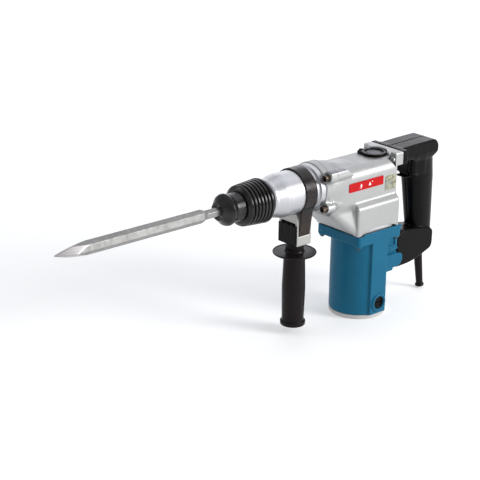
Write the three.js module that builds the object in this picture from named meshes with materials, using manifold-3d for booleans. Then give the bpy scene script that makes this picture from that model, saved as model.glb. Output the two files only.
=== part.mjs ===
// A corded demolition hammer: an upright motor drives a crank, the crank drives a piston, and an air
// cushion throws the striker at the back of the chisel.
//
// Millimetres, +Z up. The origin is the centre of the motor end cap's bottom face. The hammer line (the
// axis of the barrel, the piston and the chisel) runs along X at height AXIS_Z, with the chisel to -X.
// The tool's left side, with the name plate, is -Y.

import * as THREE from 'three';
import { mergeVertices } from 'three/addons/utils/BufferGeometryUtils.js';
import Module from 'manifold-3d';

const wasm = await Module();
wasm.setup();

// ---------------------------------------------------------------- driving dimensions

const GAP = 0.3;               // clearance between touching pieces
const AXIS_Z = 229;            // height of the hammer line above the motor end face

// Motor
const MOTOR_R = 45;
const MOTOR_BORE_R = 41;
const END_CAP_H = 9;
const FLANGE_Z = [128, 144];   // motor housing flange, under the gear housing
const FLANGE_X = [-48.5, 45.5];
const FLANGE_Y = 46.7;
const GASKET_H = 1.4;
const BRUSH_Z = 26;
const SHAFT_R = 5;
const STACK_Z = [46, 104];     // laminations of the armature and the stator
const ARMATURE_R = 24.5;
const ARM_BEARING = { bore: 5, outer: 13, width: 8 };

// Gear train: pinion on the armature shaft, gear on the crankshaft
const MODULE = 1.25;
const PINION_TEETH = 7;
const GEAR_TEETH = 35;
const CRANK_X = -MODULE * (PINION_TEETH + GEAR_TEETH) / 2;
const CRANK_THROW = 12;
const ROD_LENGTH = 58;
const LOWER_BEARING = { bore: 4, outer: 11, width: 7 };
const UPPER_BEARING = { bore: 7.5, outer: 16, width: 9 };

// Gear housing, measured from the hammer line
const DECK_Z = 24.8;
const SIDE_Y = 37.8;
const BODY_X1 = 39;
const HOUSING_BOTTOM = FLANGE_Z[1] + GASKET_H + 2 * GAP - AXIS_Z;
const LOWER_BOX_X = -51.5;
const JOINT_X = -101;          // where the barrel flange meets the gear housing
const FLANGE_R = 38.5;
const BOLTS = [[-39.5, 24], [41.5, 12], [36.5, -25.5], [-36.5, -25.5]];
const LUG_R = 8;
const BRACKET = { x0: 37.5, x1: 54.1, y: 36, z0: 11, z1: 32 };
const HANDLE_SCREW = { y: 30.5, z: 21.5 };
const CAP_X = 24.4;
const CAP_R = 19.4;
const CAP_SKIRT_R = 16;

// Hammer line, from the back to the tip
const CYLINDER = { r0: 24, r1: 26.5, x0: -180, x1: -58 };
const BARREL_R = 33.8;
const BARREL_FRONT = -206;
const FLANGE_FRONT = -113;
const PISTON_R = 23.6;
const STRIKER_X = [-176, -150];
const SHANK_AF = 13;           // hexagon across flats
const SHANK_END = -229.4;
const BALL_X = -250;
const BALL_R = 3.5;
const HOLDER_R = 11.5;
const SLEEVE_X = [-257, -212];
const SHOULDER_X = -320;
const TIP_X = -579;
const BAR_AF = 18;

// Side handle
const SIDE_X = -140;
const BAND = { r0: 34.1, r1: 36.1, width: 22 };
const DISC_Z = -96.4;
const GRIP_END_Z = -217.3;

// Rear handle
const HANDLE_X0 = BRACKET.x1 + GAP;
const BASE_X0 = 66.3;          // where the base meets the motor housing's rear extension

// ---------------------------------------------------------------- colours

const LOOKS = {
  aluminium: { color: 0xc9cac8, roughness: 0.42, metalness: 0.75 },
  machined: { color: 0xd6d7d8, roughness: 0.28, metalness: 0.9 },
  teal: { color: 0x1f6488, roughness: 0.45, metalness: 0 },
  black: { color: 0x1c1a1c, roughness: 0.5, metalness: 0 },
  rubber: { color: 0x141314, roughness: 0.6, metalness: 0 },
  pale: { color: 0xdcdcd6, roughness: 0.5, metalness: 0 },
  steel: { color: 0xa8a8a2, roughness: 0.4, metalness: 0.9 },
  forged: { color: 0xa3a59c, roughness: 0.55, metalness: 0.6 },
  blackened: { color: 0x2b2725, roughness: 0.4, metalness: 0.7 },
  copper: { color: 0xb46a3c, roughness: 0.4, metalness: 0.9 },
  brass: { color: 0xc2a04e, roughness: 0.35, metalness: 0.9 },
  carbon: { color: 0x2a2a2c, roughness: 0.7, metalness: 0 },
  red: { color: 0xd8140c, roughness: 0.35, metalness: 0 },
  paper: { color: 0x8a7a58, roughness: 0.8, metalness: 0 },
};

// ---------------------------------------------------------------- solids

// Joins equal vertices, drops collapsed triangles and turns the faces outwards.
function toSolid(geometry) {
  const bare = geometry.clone();
  bare.deleteAttribute('normal');
  bare.deleteAttribute('uv');
  const merged = mergeVertices(bare, 1e-4);
  const points = merged.attributes.position;
  const index = merged.index.array;
  const faces = [];
  let volume = 0;
  const corner = [new THREE.Vector3(), new THREE.Vector3(), new THREE.Vector3()];
  for (let i = 0; i < index.length; i += 3) {
    const [a, b, c] = [index[i], index[i + 1], index[i + 2]];
    if (a === b || b === c || c === a) continue;
    faces.push(a, b, c);
    [a, b, c].forEach((v, k) => corner[k].fromBufferAttribute(points, v));
    volume += corner[0].dot(corner[1].cross(corner[2]));
  }
  if (volume < 0) {
    for (let i = 0; i < faces.length; i += 3) {
      [faces[i], faces[i + 1]] = [faces[i + 1], faces[i]];
    }
  }
  return new wasm.Manifold(new wasm.Mesh({
    numProp: 3,
    vertProperties: new Float32Array(points.array),
    triVerts: new Uint32Array(faces),
  }));
}

function toGeometry(solid) {
  const mesh = solid.getMesh();
  const geometry = new THREE.BufferGeometry();
  geometry.setAttribute('position', new THREE.BufferAttribute(mesh.vertProperties, 3));
  geometry.setIndex(new THREE.BufferAttribute(mesh.triVerts, 1));
  geometry.computeVertexNormals();
  return geometry;
}

const join = (...solids) => solids.flat().reduce((a, b) => a.add(b));
const cut = (solid, ...tools) => solid.subtract(join(...tools));

function box([x0, x1], [y0, y1], [z0, z1]) {
  const geometry = new THREE.BoxGeometry(x1 - x0, y1 - y0, z1 - z0);
  return toSolid(geometry.translate((x0 + x1) / 2, (y0 + y1) / 2, (z0 + z1) / 2));
}

// Turns a profile of [radius, height] points about an axis through the origin.
function turned(axis, profile, sides = 20) {
  const points = profile.map(([r, h]) => new THREE.Vector2(r, h));
  const geometry = new THREE.LatheGeometry(points, sides);
  if (axis === 'x') geometry.rotateZ(-Math.PI / 2);
  if (axis === 'z') geometry.rotateX(Math.PI / 2);
  return toSolid(geometry);
}

const rod = (axis, r, from, to, sides = 20) =>
  turned(axis, [[0, from], [r, from], [r, to], [0, to]], sides);

const tube = (axis, r0, r1, from, to, sides = 20) =>
  turned(axis, [[r0, from], [r1, from], [r1, to], [r0, to], [r0, from]], sides);

// Extrudes an outline along an axis. Its points are [y, z] along x, [x, z] along y and [x, y] along z.
function prism(axis, outline, from, to) {
  const shape = outline instanceof THREE.Shape
    ? outline
    : new THREE.Shape(outline.map(([u, v]) => new THREE.Vector2(u, v)));
  const depth = to - from;
  const geometry = new THREE.ExtrudeGeometry(shape, { depth, bevelEnabled: false, curveSegments: 6 });
  const basis = new THREE.Matrix4();
  const [X, Y, Z] = [new THREE.Vector3(1, 0, 0), new THREE.Vector3(0, 1, 0), new THREE.Vector3(0, 0, 1)];
  if (axis === 'x') basis.makeBasis(Y, Z, X);
  if (axis === 'y') basis.makeBasis(X, Z, Y.clone().negate());
  geometry.translate(0, 0, axis === 'y' ? -to : from);
  return toSolid(geometry.applyMatrix4(basis));
}

function roundedRect([u0, u1], [v0, v1], r) {
  const shape = new THREE.Shape();
  shape.moveTo(u0 + r, v0);
  shape.lineTo(u1 - r, v0);
  shape.absarc(u1 - r, v0 + r, r, -Math.PI / 2, 0);
  shape.absarc(u1 - r, v1 - r, r, 0, Math.PI / 2);
  shape.absarc(u0 + r, v1 - r, r, Math.PI / 2, Math.PI);
  shape.absarc(u0 + r, v0 + r, r, Math.PI, 1.5 * Math.PI);
  return shape;
}

// Joins a stack of rings, each with the same number of points, into one closed skin.
function loft(rings) {
  const n = rings[0].length;
  const positions = rings.flat().flat();
  const index = [];
  for (let k = 0; k + 1 < rings.length; k++) {
    for (let i = 0; i < n; i++) {
      const [a, b] = [k * n + i, k * n + (i + 1) % n];
      index.push(a, b, b + n, a, b + n, a + n);
    }
  }
  const last = (rings.length - 1) * n;
  for (let i = 1; i + 1 < n; i++) {
    index.push(0, i + 1, i);
    index.push(last, last + i, last + i + 1);
  }
  const geometry = new THREE.BufferGeometry();
  geometry.setAttribute('position', new THREE.Float32BufferAttribute(positions, 3));
  geometry.setIndex(index);
  return toSolid(geometry);
}

// A superellipse ring at height z: nearly a circle at power 2, squarer above that.
function ovalRing(cx, z, a, b, power = 2.6, count = 20) {
  return Array.from({ length: count }, (_, i) => {
    const t = (2 * Math.PI * i) / count;
    const [c, s] = [Math.cos(t), Math.sin(t)];
    const x = cx + a * Math.sign(c) * Math.abs(c) ** (2 / power);
    const y = b * Math.sign(s) * Math.abs(s) ** (2 / power);
    return [x, y, z];
  });
}

const hexagon = (af, turn = 0) => Array.from({ length: 6 }, (_, i) => {
  const t = turn + (i * Math.PI) / 3;
  const r = af / Math.sqrt(3);
  return [r * Math.cos(t), r * Math.sin(t)];
});

// ---------------------------------------------------------------- meshes

const part = new THREE.Group();
const hammerLine = new THREE.Group();
hammerLine.position.z = AXIS_Z;
part.add(hammerLine);
const sideHandle = new THREE.Group();
sideHandle.position.x = SIDE_X;
hammerLine.add(sideHandle);

function add(group, name, look, solid) {
  const mesh = new THREE.Mesh(toGeometry(solid), new THREE.MeshStandardMaterial(LOOKS[look]));
  mesh.name = name;
  group.add(mesh);
  return mesh;
}

// ---------------------------------------------------------------- motor, in the row's own height

function brushBore(side, r) {
  return rod('y', r, 0, 60).scale([1, side, 1]).translate([0, 0, BRUSH_Z]);
}

// A rounded tongue on each side of the rear extension laps over the base of the rear handle.
function baseCheek() {
  return prism('y', [[50, 60], [68, 63], [76, 69], [77, 82], [73, 87], [50, 88]], 20.8, 24);
}

function motorHousing() {
  const z0 = END_CAP_H + GAP;
  const [f0, f1] = FLANGE_Z;
  const shell = join(
    rod('z', MOTOR_R, z0, f0 + 2, 32),
    prism('z', roundedRect(FLANGE_X, [-FLANGE_Y, FLANGE_Y], 8), f0, f1),
    box([-17, 17], [-46.4, 46.4], [z0, f0 + 1]),
    prism('y', [[38, 57], [60, 57], [66, 62], [66, f0], [38, f0]], -21, 21),
    ...[-1, 1].map((side) => baseCheek().scale([1, side, 1])),
    ...[-1, 1].map((side) => rod('y', 14, 38, 48.6).scale([1, side, 1]).translate([0, 0, BRUSH_Z])),
  );
  return cut(
    shell,
    rod('z', MOTOR_BORE_R, z0 - 1, f1 + 1, 32),
    box([45, 67], [-17, 17], [62, f0 - 5]),
    brushBore(-1, 10.4),
    brushBore(1, 10.4),
  );
}

function motorEndCap() {
  return turned('z', [
    [0, 0], [41, 0], [44, 2], [44.6, 4], [44.6, END_CAP_H], [40, END_CAP_H], [40, 3],
    [ARM_BEARING.outer + 3, 3], [ARM_BEARING.outer + 3, 12], [ARM_BEARING.outer + GAP, 12],
    [ARM_BEARING.outer + GAP, 3], [0, 3],
  ], 28);
}

function bearing({ bore, outer, width }, z) {
  return tube('z', bore + GAP, outer, z, z + width);
}

function statorCore() {
  const count = 28;
  const outline = (r) => Array.from({ length: count }, (_, i) => {
    const t = (2 * Math.PI * i) / count;
    return [r(t) * Math.cos(t), r(t) * Math.sin(t)];
  });
  const window = (t) => (Math.abs(Math.cos(t)) > 0.62 ? 34 : ARMATURE_R + 0.8);
  const ring = prism('z', outline(() => MOTOR_BORE_R - GAP), ...STACK_Z);
  return cut(ring, prism('z', outline(window), STACK_Z[0] - 1, STACK_Z[1] + 1));
}

// A field coil fills the window between two poles and stands out past the laminations.
function fieldCoil(side) {
  const outline = [];
  const half = 0.6;
  for (let i = 0; i <= 8; i++) {
    const t = -half + (2 * half * i) / 8;
    outline.push([33 * Math.cos(t), 33 * Math.sin(t)]);
  }
  for (let i = 8; i >= 0; i--) {
    const t = -half + (2 * half * i) / 8;
    outline.push([26 * Math.cos(t), 26 * Math.sin(t)]);
  }
  return prism('z', outline.map(([x, y]) => [side * x, y]), STACK_Z[0] - 7, STACK_Z[1] + 6);
}

function gearOutline(teeth, phase, tipHalf, rootHalf) {
  const pitchR = (MODULE * teeth) / 2;
  const [tipR, rootR] = [pitchR + 1, pitchR - 1.6];
  const points = [];
  for (let i = 0; i < teeth; i++) {
    const middle = phase + (2 * Math.PI * i) / teeth;
    const corners = [[rootR, -rootHalf], [tipR, -tipHalf], [tipR, tipHalf], [rootR, rootHalf]];
    for (const [r, half] of corners) {
      const t = middle + half / r;
      points.push([r * Math.cos(t), r * Math.sin(t)]);
    }
  }
  return points;
}

function armatureShaft() {
  const pinionZ = [AXIS_Z + HOUSING_BOTTOM + 8.5, AXIS_Z - 60];
  return join(
    turned('z', [
      [0, 3.4], [SHAFT_R, 3.4], [SHAFT_R, 148], [4, 149], [4, 150], [2.7, 151], [2.7, 155], [0, 155],
    ]),
    prism('z', gearOutline(PINION_TEETH, Math.PI, 0.45, 0.85), ...pinionZ),
  );
}

function armatureCore() {
  const slots = 12;
  const points = [];
  for (let i = 0; i < slots; i++) {
    const middle = (2 * Math.PI * i) / slots;
    const corners = [[17, -0.06], [17, 0.06], [ARMATURE_R - 1, 0.05], [ARMATURE_R, 0.07],
      [ARMATURE_R, Math.PI / slots], [ARMATURE_R, 2 * Math.PI / slots - 0.07]];
    for (const [r, t] of corners) {
      points.push([r * Math.cos(middle + t), r * Math.sin(middle + t)]);
    }
  }
  return cut(prism('z', points, ...STACK_Z), rod('z', SHAFT_R + GAP, 40, 110));
}

function commutator() {
  const r0 = SHAFT_R + GAP;
  return turned('z', [[r0, 15], [16, 15], [16, 37], [19, 37], [19, 40], [r0, 40], [r0, 15]]);
}

function coolingFan() {
  const z0 = STACK_Z[1] + 8;
  const count = 9;
  const blades = Array.from({ length: count }, (_, i) =>
    box([14, 36], [-0.9, 0.9], [z0 + 2, z0 + 12]).rotate([0, 0, (360 * i) / count]));
  return cut(
    join(rod('z', 37.5, z0, z0 + 2.5, 24), rod('z', 15, z0, z0 + 12, 16), blades),
    rod('z', SHAFT_R + GAP, z0 - 1, z0 + 13, 16),
  );
}

function brushHolder(side) {
  const holder = join(
    box([-6.5, 6.5], [19.5, 39.4], [-5.5, 5.5]),
    rod('y', 10.1, 36, 39.4),
  );
  return cut(holder, box([-4.3, 4.3], [18, 41], [-3.3, 3.3]))
    .scale([1, side, 1]).translate([0, 0, BRUSH_Z]);
}

function brush(side) {
  return box([-4, 4], [16.4, 32], [-3, 3]).scale([1, side, 1]).translate([0, 0, BRUSH_Z]);
}

function brushSpring(side) {
  return tube('y', 1.6, 2.7, 32 + GAP, 39.4, 12).scale([1, side, 1]).translate([0, 0, BRUSH_Z]);
}

function brushCap(side) {
  const cap = turned('y', [[0, 39.7], [10.1, 39.7], [10.1, 46.6], [9.2, 47.6], [0, 47.6]]);
  return cut(cap, box([-7.5, 7.5], [46, 49], [-0.9, 0.9]))
    .scale([1, side, 1]).translate([0, 0, BRUSH_Z]);
}

function housingGasket() {
  const z0 = FLANGE_Z[1] + GAP;
  const outline = roundedRect([FLANGE_X[0] + 1, FLANGE_X[1] - 2], [-45.7, 45.7], 7);
  const sheet = prism('z', outline, z0, z0 + GASKET_H);
  return cut(sheet, rod('z', 40, z0 - 1, z0 + 3, 28));
}

function buildMotor() {
  add(part, 'motor_housing', 'teal', motorHousing());
  add(part, 'motor_end_cap', 'pale', motorEndCap());
  add(part, 'housing_gasket', 'paper', housingGasket());
  add(part, 'stator_core', 'steel', statorCore());
  add(part, 'field_coil_front', 'copper', fieldCoil(-1));
  add(part, 'field_coil_rear', 'copper', fieldCoil(1));
  add(part, 'armature_bearing_lower', 'steel', bearing(ARM_BEARING, 3.6));
  add(part, 'armature_shaft', 'steel', armatureShaft());
  add(part, 'armature_core', 'steel', armatureCore());
  add(part, 'commutator', 'copper', commutator());
  add(part, 'cooling_fan', 'black', coolingFan());
  for (const [name, side] of [['left', -1], ['right', 1]]) {
    add(part, `brush_holder_${name}`, 'brass', brushHolder(side));
    add(part, `brush_${name}`, 'carbon', brush(side));
    add(part, `brush_spring_${name}`, 'steel', brushSpring(side));
    add(part, `brush_cap_${name}`, 'black', brushCap(side));
  }
}

// ---------------------------------------------------------------- gear housing, from the hammer line

// The casting is round at the barrel joint and grows boxy towards the back, with a flat deck.
const BODY_BOTTOM = -40;
const ROUND_END = -90;         // the section is a circle up to here
const BOXY_FROM = -34;         // and fully boxy from here on

function bodyRing(x) {
  const count = 28;
  const power = 4;
  const mix = THREE.MathUtils.smoothstep(x, ROUND_END, BOXY_FROM);
  const [middle, half] = [(DECK_Z + BODY_BOTTOM) / 2, (DECK_Z - BODY_BOTTOM) / 2];
  return Array.from({ length: count }, (_, i) => {
    const t = (2 * Math.PI * (i + 0.5)) / count;
    const [c, s] = [Math.cos(t), Math.sin(t)];
    const boxY = SIDE_Y * Math.sign(c) * Math.abs(c) ** (2 / power);
    const boxZ = middle + half * Math.sign(s) * Math.abs(s) ** (2 / power);
    const y = THREE.MathUtils.lerp(FLANGE_R * c, boxY, mix);
    const z = THREE.MathUtils.lerp(FLANGE_R * s, boxZ, mix);
    return [x, y, z];
  });
}

const bodyLoft = () =>
  loft([JOINT_X + GAP, ROUND_END, -72, -54, BOXY_FROM, BODY_X1].map(bodyRing));

function boltBosses() {
  const rear = -87;
  const bosses = BOLTS.map(([y, z]) => {
    const round = rod('x', LUG_R + 0.3, JOINT_X + GAP, rear, 12);
    const web = box([JOINT_X + GAP, rear], [-14, 0], [-LUG_R, LUG_R]).scale([1, Math.sign(y), 1]);
    return join(round, web).translate([0, y, z]);
  });
  return join(bosses, upperBoss(JOINT_X + GAP));
}

// The long boss of the upper bolt on the name plate side: a flat top, and a rear end cut back both ways.
function upperBoss(front) {
  const side = prism('y', [[front, 15.4], [-74, 15.4], [-65, 21], [-80, 32.4], [front, 32.4]], -48.3, -34);
  const section = prism('x', [[-48.3, 20], [-44, 15.4], [-34, 15.4], [-34, 32.4], [-48.3, 32.4]], front, -60);
  return side.intersect(section);
}

// The nose under the front ring: a side outline crossed with a front outline that widens downwards.
function frontNose() {
  const bottom = HOUSING_BOTTOM;
  const side = prism('y', [
    [-40, bottom], [-50.5, bottom], [-58, -77], [-80, -59], [-97, -43], [JOINT_X + GAP, -34],
    [JOINT_X + GAP, 0], [-40, 0],
  ], -60, 60);
  const front = prism('x', [
    [-45.5, bottom], [45.5, bottom], [38, -38], [37, 0], [-37, 0], [-38, -38],
  ], -110, -30);
  return side.intersect(front);
}

function gearHousingBody() {
  const bottom = HOUSING_BOTTOM;
  return join(
    bodyLoft(),
    boltBosses(),
    frontNose(),
    prism('x', [[-46.7, bottom], [46.7, bottom], [46.7, -37], [37, -29], [-37, -29], [-46.7, -37]],
      LOWER_BOX_X, BODY_X1),
    box([BRACKET.x0, BRACKET.x1], [-BRACKET.y, BRACKET.y], [BRACKET.z0, BRACKET.z1]),
    box([30, BRACKET.x1 - 2], [-24, 24], [0, DECK_Z]),
  );
}

function gearHousing() {
  const bottom = HOUSING_BOTTOM;
  const gearRoom = join(
    box([-46, 32.7], [-41.5, 41.5], [bottom - 1, -34]),
    rod('z', 25, bottom + 8, -34, 24).translate([CRANK_X, 0, 0]),
  );
  return cut(
    gearHousingBody(),
    gearRoom,
    box([-62, 33], [-29, 29], [-22, 17]),
    rod('x', CYLINDER.r1 + 0.5, JOINT_X - 1, CYLINDER.x1 + GAP, 24),
    rod('z', UPPER_BEARING.outer + GAP, -36, -20, 16).translate([CRANK_X, 0, 0]),
    rod('z', CAP_SKIRT_R + GAP, 15, DECK_Z + 1, 24).translate([CAP_X, 0, 0]),
    BOLTS.map(([y, z]) => rod('x', 3.3, JOINT_X - 1, -88, 8).translate([0, y, z])),
    rod('z', CAP_R + 0.8, DECK_Z, BRACKET.z1 + 1, 24).translate([CAP_X, 0, 0]),
    [-1, 1].map(screwNotch),
  );
}

// A notch in the shoulder in front of each ear of the handle bracket, with the screw's hole behind it.
function screwNotch(side) {
  const notch = prism('z', [[29, 41], [32, 24.3], [BRACKET.x0, 24.3], [BRACKET.x0, 41]], 13, 34);
  const hole = rod('x', 2.8, BRACKET.x0 - 1, BRACKET.x1 + 1, 8)
    .translate([0, HANDLE_SCREW.y, HANDLE_SCREW.z]);
  return join(notch, hole).scale([1, side, 1]);
}

function bearingPlate() {
  const z0 = HOUSING_BOTTOM;
  const plate = prism('z', roundedRect([-45.6, 32.3], [-41.1, 41.1], 4), z0, z0 + 8);
  return cut(
    plate,
    rod('z', ARM_BEARING.outer + GAP, z0 - 1, z0 + 10),
    rod('z', LOWER_BEARING.outer + GAP, z0 - 1, z0 + 10).translate([CRANK_X, 0, 0]),
  );
}

function greaseCap() {
  const z0 = DECK_Z + GAP;
  const rim = turned('z', [
    [0, z0 - 8], [CAP_SKIRT_R, z0 - 8], [CAP_SKIRT_R, z0], [CAP_R, z0], [CAP_R, z0 + 3.6],
    [CAP_R - 1, z0 + 4.5], [CAP_R - 3.5, z0 + 4.5], [CAP_R - 4.5, z0 + 2.6], [0, z0 + 2.6],
  ]);
  const lug = prism('z', [[-CAP_R - 6, -6], [-CAP_R - 6, 6], [-12, 13.5], [-12, -13.5]], z0, z0 + 4.2)
    .rotate([0, 0, -61]);
  const disc = rod('z', 10.6, z0 + 2, z0 + 3.4, 24);
  return join(rim, cut(lug, rod('z', CAP_R - 3, z0 + 2.6, z0 + 9, 24)), disc).translate([CAP_X, 0, 0]);
}

function namePlate() {
  return prism('y', roundedRect([-66, 8], [-10.7, 3.6], 1.5), -SIDE_Y - GAP - 0.5, -SIDE_Y - GAP);
}

function barrelBolt([y, z]) {
  const seat = FLANGE_FRONT - GAP;
  const bolt = turned('x', [
    [0, seat - 7.4], [4.6, seat - 7.4], [5, seat - 7], [5, seat - 1.6], [6, seat - 1.6], [6, seat],
    [3, seat], [3, -90], [0, -90],
  ], 12);
  const socket = prism('x', hexagon(5), seat - 8, seat - 4.4);
  return cut(bolt, socket).translate([0, y, z]);
}

function handleScrew(side) {
  const seat = BRACKET.x0 - GAP;
  const screw = turned('x', [
    [0, seat - 4], [4.3, seat - 4], [4.3, seat], [2.5, seat], [2.5, 62], [0, 62],
  ], 10);
  return screw.translate([0, side * HANDLE_SCREW.y, HANDLE_SCREW.z]);
}

function buildGearHousing() {
  add(hammerLine, 'gear_housing', 'aluminium', gearHousing());
  add(hammerLine, 'bearing_plate', 'aluminium', bearingPlate());
  add(hammerLine, 'grease_cap', 'black', greaseCap());
  add(hammerLine, 'name_plate', 'red', namePlate());
  const plateZ = HOUSING_BOTTOM;
  add(hammerLine, 'armature_bearing_upper', 'steel', bearing(ARM_BEARING, plateZ));
  const crankAxis = [CRANK_X, 0, 0];
  add(hammerLine, 'crank_bearing_lower', 'steel', bearing(LOWER_BEARING, plateZ + 0.5).translate(crankAxis));
  add(hammerLine, 'crank_bearing_upper', 'steel', bearing(UPPER_BEARING, -33).translate(crankAxis));
  BOLTS.forEach((place, i) => {
    add(hammerLine, `barrel_bolt_${i + 1}`, 'blackened', barrelBolt(place));
  });
  add(hammerLine, 'handle_screw_left', 'blackened', handleScrew(-1));
  add(hammerLine, 'handle_screw_right', 'blackened', handleScrew(1));
}

// ---------------------------------------------------------------- crank and piston

function crankshaft() {
  const z0 = HOUSING_BOTTOM;
  const shaft = turned('z', [
    [0, z0 + 0.8], [LOWER_BEARING.bore, z0 + 0.8], [LOWER_BEARING.bore, z0 + 9], [7, z0 + 9], [7, -61],
    [UPPER_BEARING.bore, -61], [UPPER_BEARING.bore, -21], [18, -21], [18, -9], [0, -9],
  ]);
  const pin = rod('z', 5, -10, 9, 20).translate([-CRANK_THROW, 0, 0]);
  return join(shaft, pin).translate([CRANK_X, 0, 0]);
}

function crankGear() {
  const blank = prism('z', gearOutline(GEAR_TEETH, Math.PI / GEAR_TEETH, 0.45, 0.9), -74, -62);
  return cut(blank, rod('z', 7 + GAP, -80, -55)).translate([CRANK_X, 0, 0]);
}

const CRANK_PIN_X = CRANK_X - CRANK_THROW;
const WRIST_X = CRANK_PIN_X - ROD_LENGTH;

function connectingRod() {
  const web = box([WRIST_X, CRANK_PIN_X], [-4, 4], [-4, 4]);
  return cut(
    join(
      rod('z', 9.5, -7.5, 7.5).translate([CRANK_PIN_X, 0, 0]),
      rod('z', 6.5, -5.5, 5.5, 20).translate([WRIST_X, 0, 0]),
      web,
    ),
    rod('z', 5 + GAP, -9, 9, 20).translate([CRANK_PIN_X, 0, 0]),
    rod('z', 3.8, -9, 9, 16).translate([WRIST_X, 0, 0]),
  );
}

// The skirt leaves the rod's small end room to move, because the rod stays parallel to the hammer line.
function piston() {
  const [front, rear] = [-136, -84];
  const groove = PISTON_R - 2.2;
  return turned('x', [
    [0, front], [PISTON_R - 0.6, front], [PISTON_R, front + 0.6], [PISTON_R, front + 3],
    [groove, front + 3], [groove, front + 6.4], [PISTON_R, front + 6.4], [PISTON_R, rear],
    [20.2, rear], [20.2, front + 8.6], [0, front + 8.6],
  ]);
}

function pistonRing() {
  return tube('x', PISTON_R - 2.2 + GAP, PISTON_R, -136 + 3 + GAP, -136 + 6.4 - GAP, 32);
}

function striker() {
  const [front, rear] = STRIKER_X;
  return turned('x', [
    [0, front], [10, front], [12, front + 3], [PISTON_R, front + 4], [PISTON_R, rear - 0.6],
    [PISTON_R - 0.6, rear], [9, rear], [9, rear - 6], [0, rear - 6],
  ]);
}

function impactBolt() {
  const rear = STRIKER_X[0] - 0.4;
  return turned('x', [
    [0, SHANK_END + 0.4], [5.6, SHANK_END + 0.4], [6.2, SHANK_END + 1], [6.2, -215], [9, -213],
    [9, rear - 1], [8, rear], [0, rear],
  ]);
}

function buildMechanism() {
  add(hammerLine, 'crankshaft', 'steel', crankshaft());
  add(hammerLine, 'crank_gear', 'steel', crankGear());
  add(hammerLine, 'connecting_rod', 'aluminium', connectingRod());
  add(hammerLine, 'wrist_pin', 'steel', rod('z', 3.5, -11.5, 11.5, 16).translate([WRIST_X, 0, 0]));
  add(hammerLine, 'piston', 'aluminium', piston());
  add(hammerLine, 'piston_ring', 'rubber', pistonRing());
  add(hammerLine, 'cylinder', 'steel', tube('x', CYLINDER.r0, CYLINDER.r1, CYLINDER.x0, CYLINDER.x1, 28));
  add(hammerLine, 'striker', 'steel', striker());
  add(hammerLine, 'impact_bolt', 'steel', impactBolt());
}

// ---------------------------------------------------------------- barrel, chuck and chisel

function barrel() {
  const bore = CYLINDER.r1 + 0.5;
  const shell = turned('x', [
    [24, BARREL_FRONT], [27, BARREL_FRONT], [28.4, BARREL_FRONT + 2.5], [32.6, -184],
    [BARREL_R, -178], [BARREL_R, -122.5], [36.5, -120], [36.5, FLANGE_FRONT + 1],
    [FLANGE_R, FLANGE_FRONT + 1], [FLANGE_R, JOINT_X], [bore, JOINT_X], [bore, CYLINDER.x0 - GAP],
    [24, CYLINDER.x0 - GAP], [24, BARREL_FRONT],
  ]);
  const lugs = BOLTS.map(([y, z]) => join(
    rod('x', LUG_R, FLANGE_FRONT, JOINT_X, 12),
    box([FLANGE_FRONT, JOINT_X], [-10, 0], [-LUG_R, LUG_R]).scale([1, Math.sign(y), 1]),
  ).translate([0, y, z]));
  lugs.push(box([FLANGE_FRONT, JOINT_X], [-48.3, -34], [20, 32.4]));
  lugs.push(...[-1, 1].map(side => box([-108, JOINT_X], [30, SIDE_Y], [-20, 16]).scale([1, side, 1])));
  const holes = BOLTS.map(([y, z]) =>
    rod('x', 3.4, FLANGE_FRONT - 1, JOINT_X + 1, 8).translate([0, y, z]));
  return cut(join(shell, cut(join(lugs), rod('x', 30, -120, -95, 28))), holes);
}

function toolHolder() {
  const body = turned('x', [
    [0, -290], [14.5, -290], [14.5, -284], [HOLDER_R, -284], [HOLDER_R, -222.2], [20, -222.2],
    [20, -206], [23.6, -206], [23.6, CYLINDER.x0 + 1.4], [0, CYLINDER.x0 + 1.4],
  ]);
  return cut(
    body,
    prism('x', hexagon(SHANK_AF + 0.6, Math.PI / 6), -291, -222.8),
    rod('x', 9.4, -223, -170),
    rod('z', BALL_R + GAP, 0, 20, 16).translate([BALL_X, 0, 0]),
  );
}

function retainingBall() {
  const sphere = new THREE.SphereGeometry(BALL_R, 14, 8);
  return toSolid(sphere.translate(BALL_X, 0, 7.9));
}

// The cone inside lets the ball climb out of the shank as the sleeve is pulled back.
function lockRing() {
  const slope = 0.25;
  const [front, rear] = [SLEEVE_X[0] + 3 + GAP, -240];
  const r = HOLDER_R + 0.4;
  return turned('x', [
    [r + slope * (BALL_X - front), front], [26.4, front], [26.4, front + 4], [15, front + 4], [15, rear],
    [r, rear], [r, BALL_X], [r + slope * (BALL_X - front), front],
  ]);
}

// Six ribs run round the sleeve, growing slightly towards the barrel.
function releaseSleeve() {
  const [front, rear] = SLEEVE_X;
  const ribs = 6;
  const start = front + 8;
  const pitch = (rear - start) / ribs;
  const profile = [[16, front], [30.4, front], [31.4, front + 1.5], [31.4, front + 6.5], [29.5, front + 8]];
  for (let i = 0; i < ribs; i++) {
    const crest = 32 + (2 * i) / (ribs - 1);
    const x = start + i * pitch;
    profile.push([crest - 1.8, x], [crest, x + 0.5 * pitch]);
  }
  profile.push([31, rear], [29.3, rear], [29.3, rear - 10], [26.8, rear - 12], [26.8, front + 3],
    [16, front + 3], [16, front]);
  return turned('x', profile);
}

function noseCap() {
  return turned('x', [
    [9.5, -295], [14, -295], [22.5, -284], [24.2, -280], [21.6, -271], [22.5, -258],
    [HOLDER_R + GAP, -258], [HOLDER_R + GAP, -283.7], [14.5 + GAP, -283.7],
    [14.5 + GAP, -290.3], [9.5, -290.3], [9.5, -295],
  ]);
}

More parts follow.
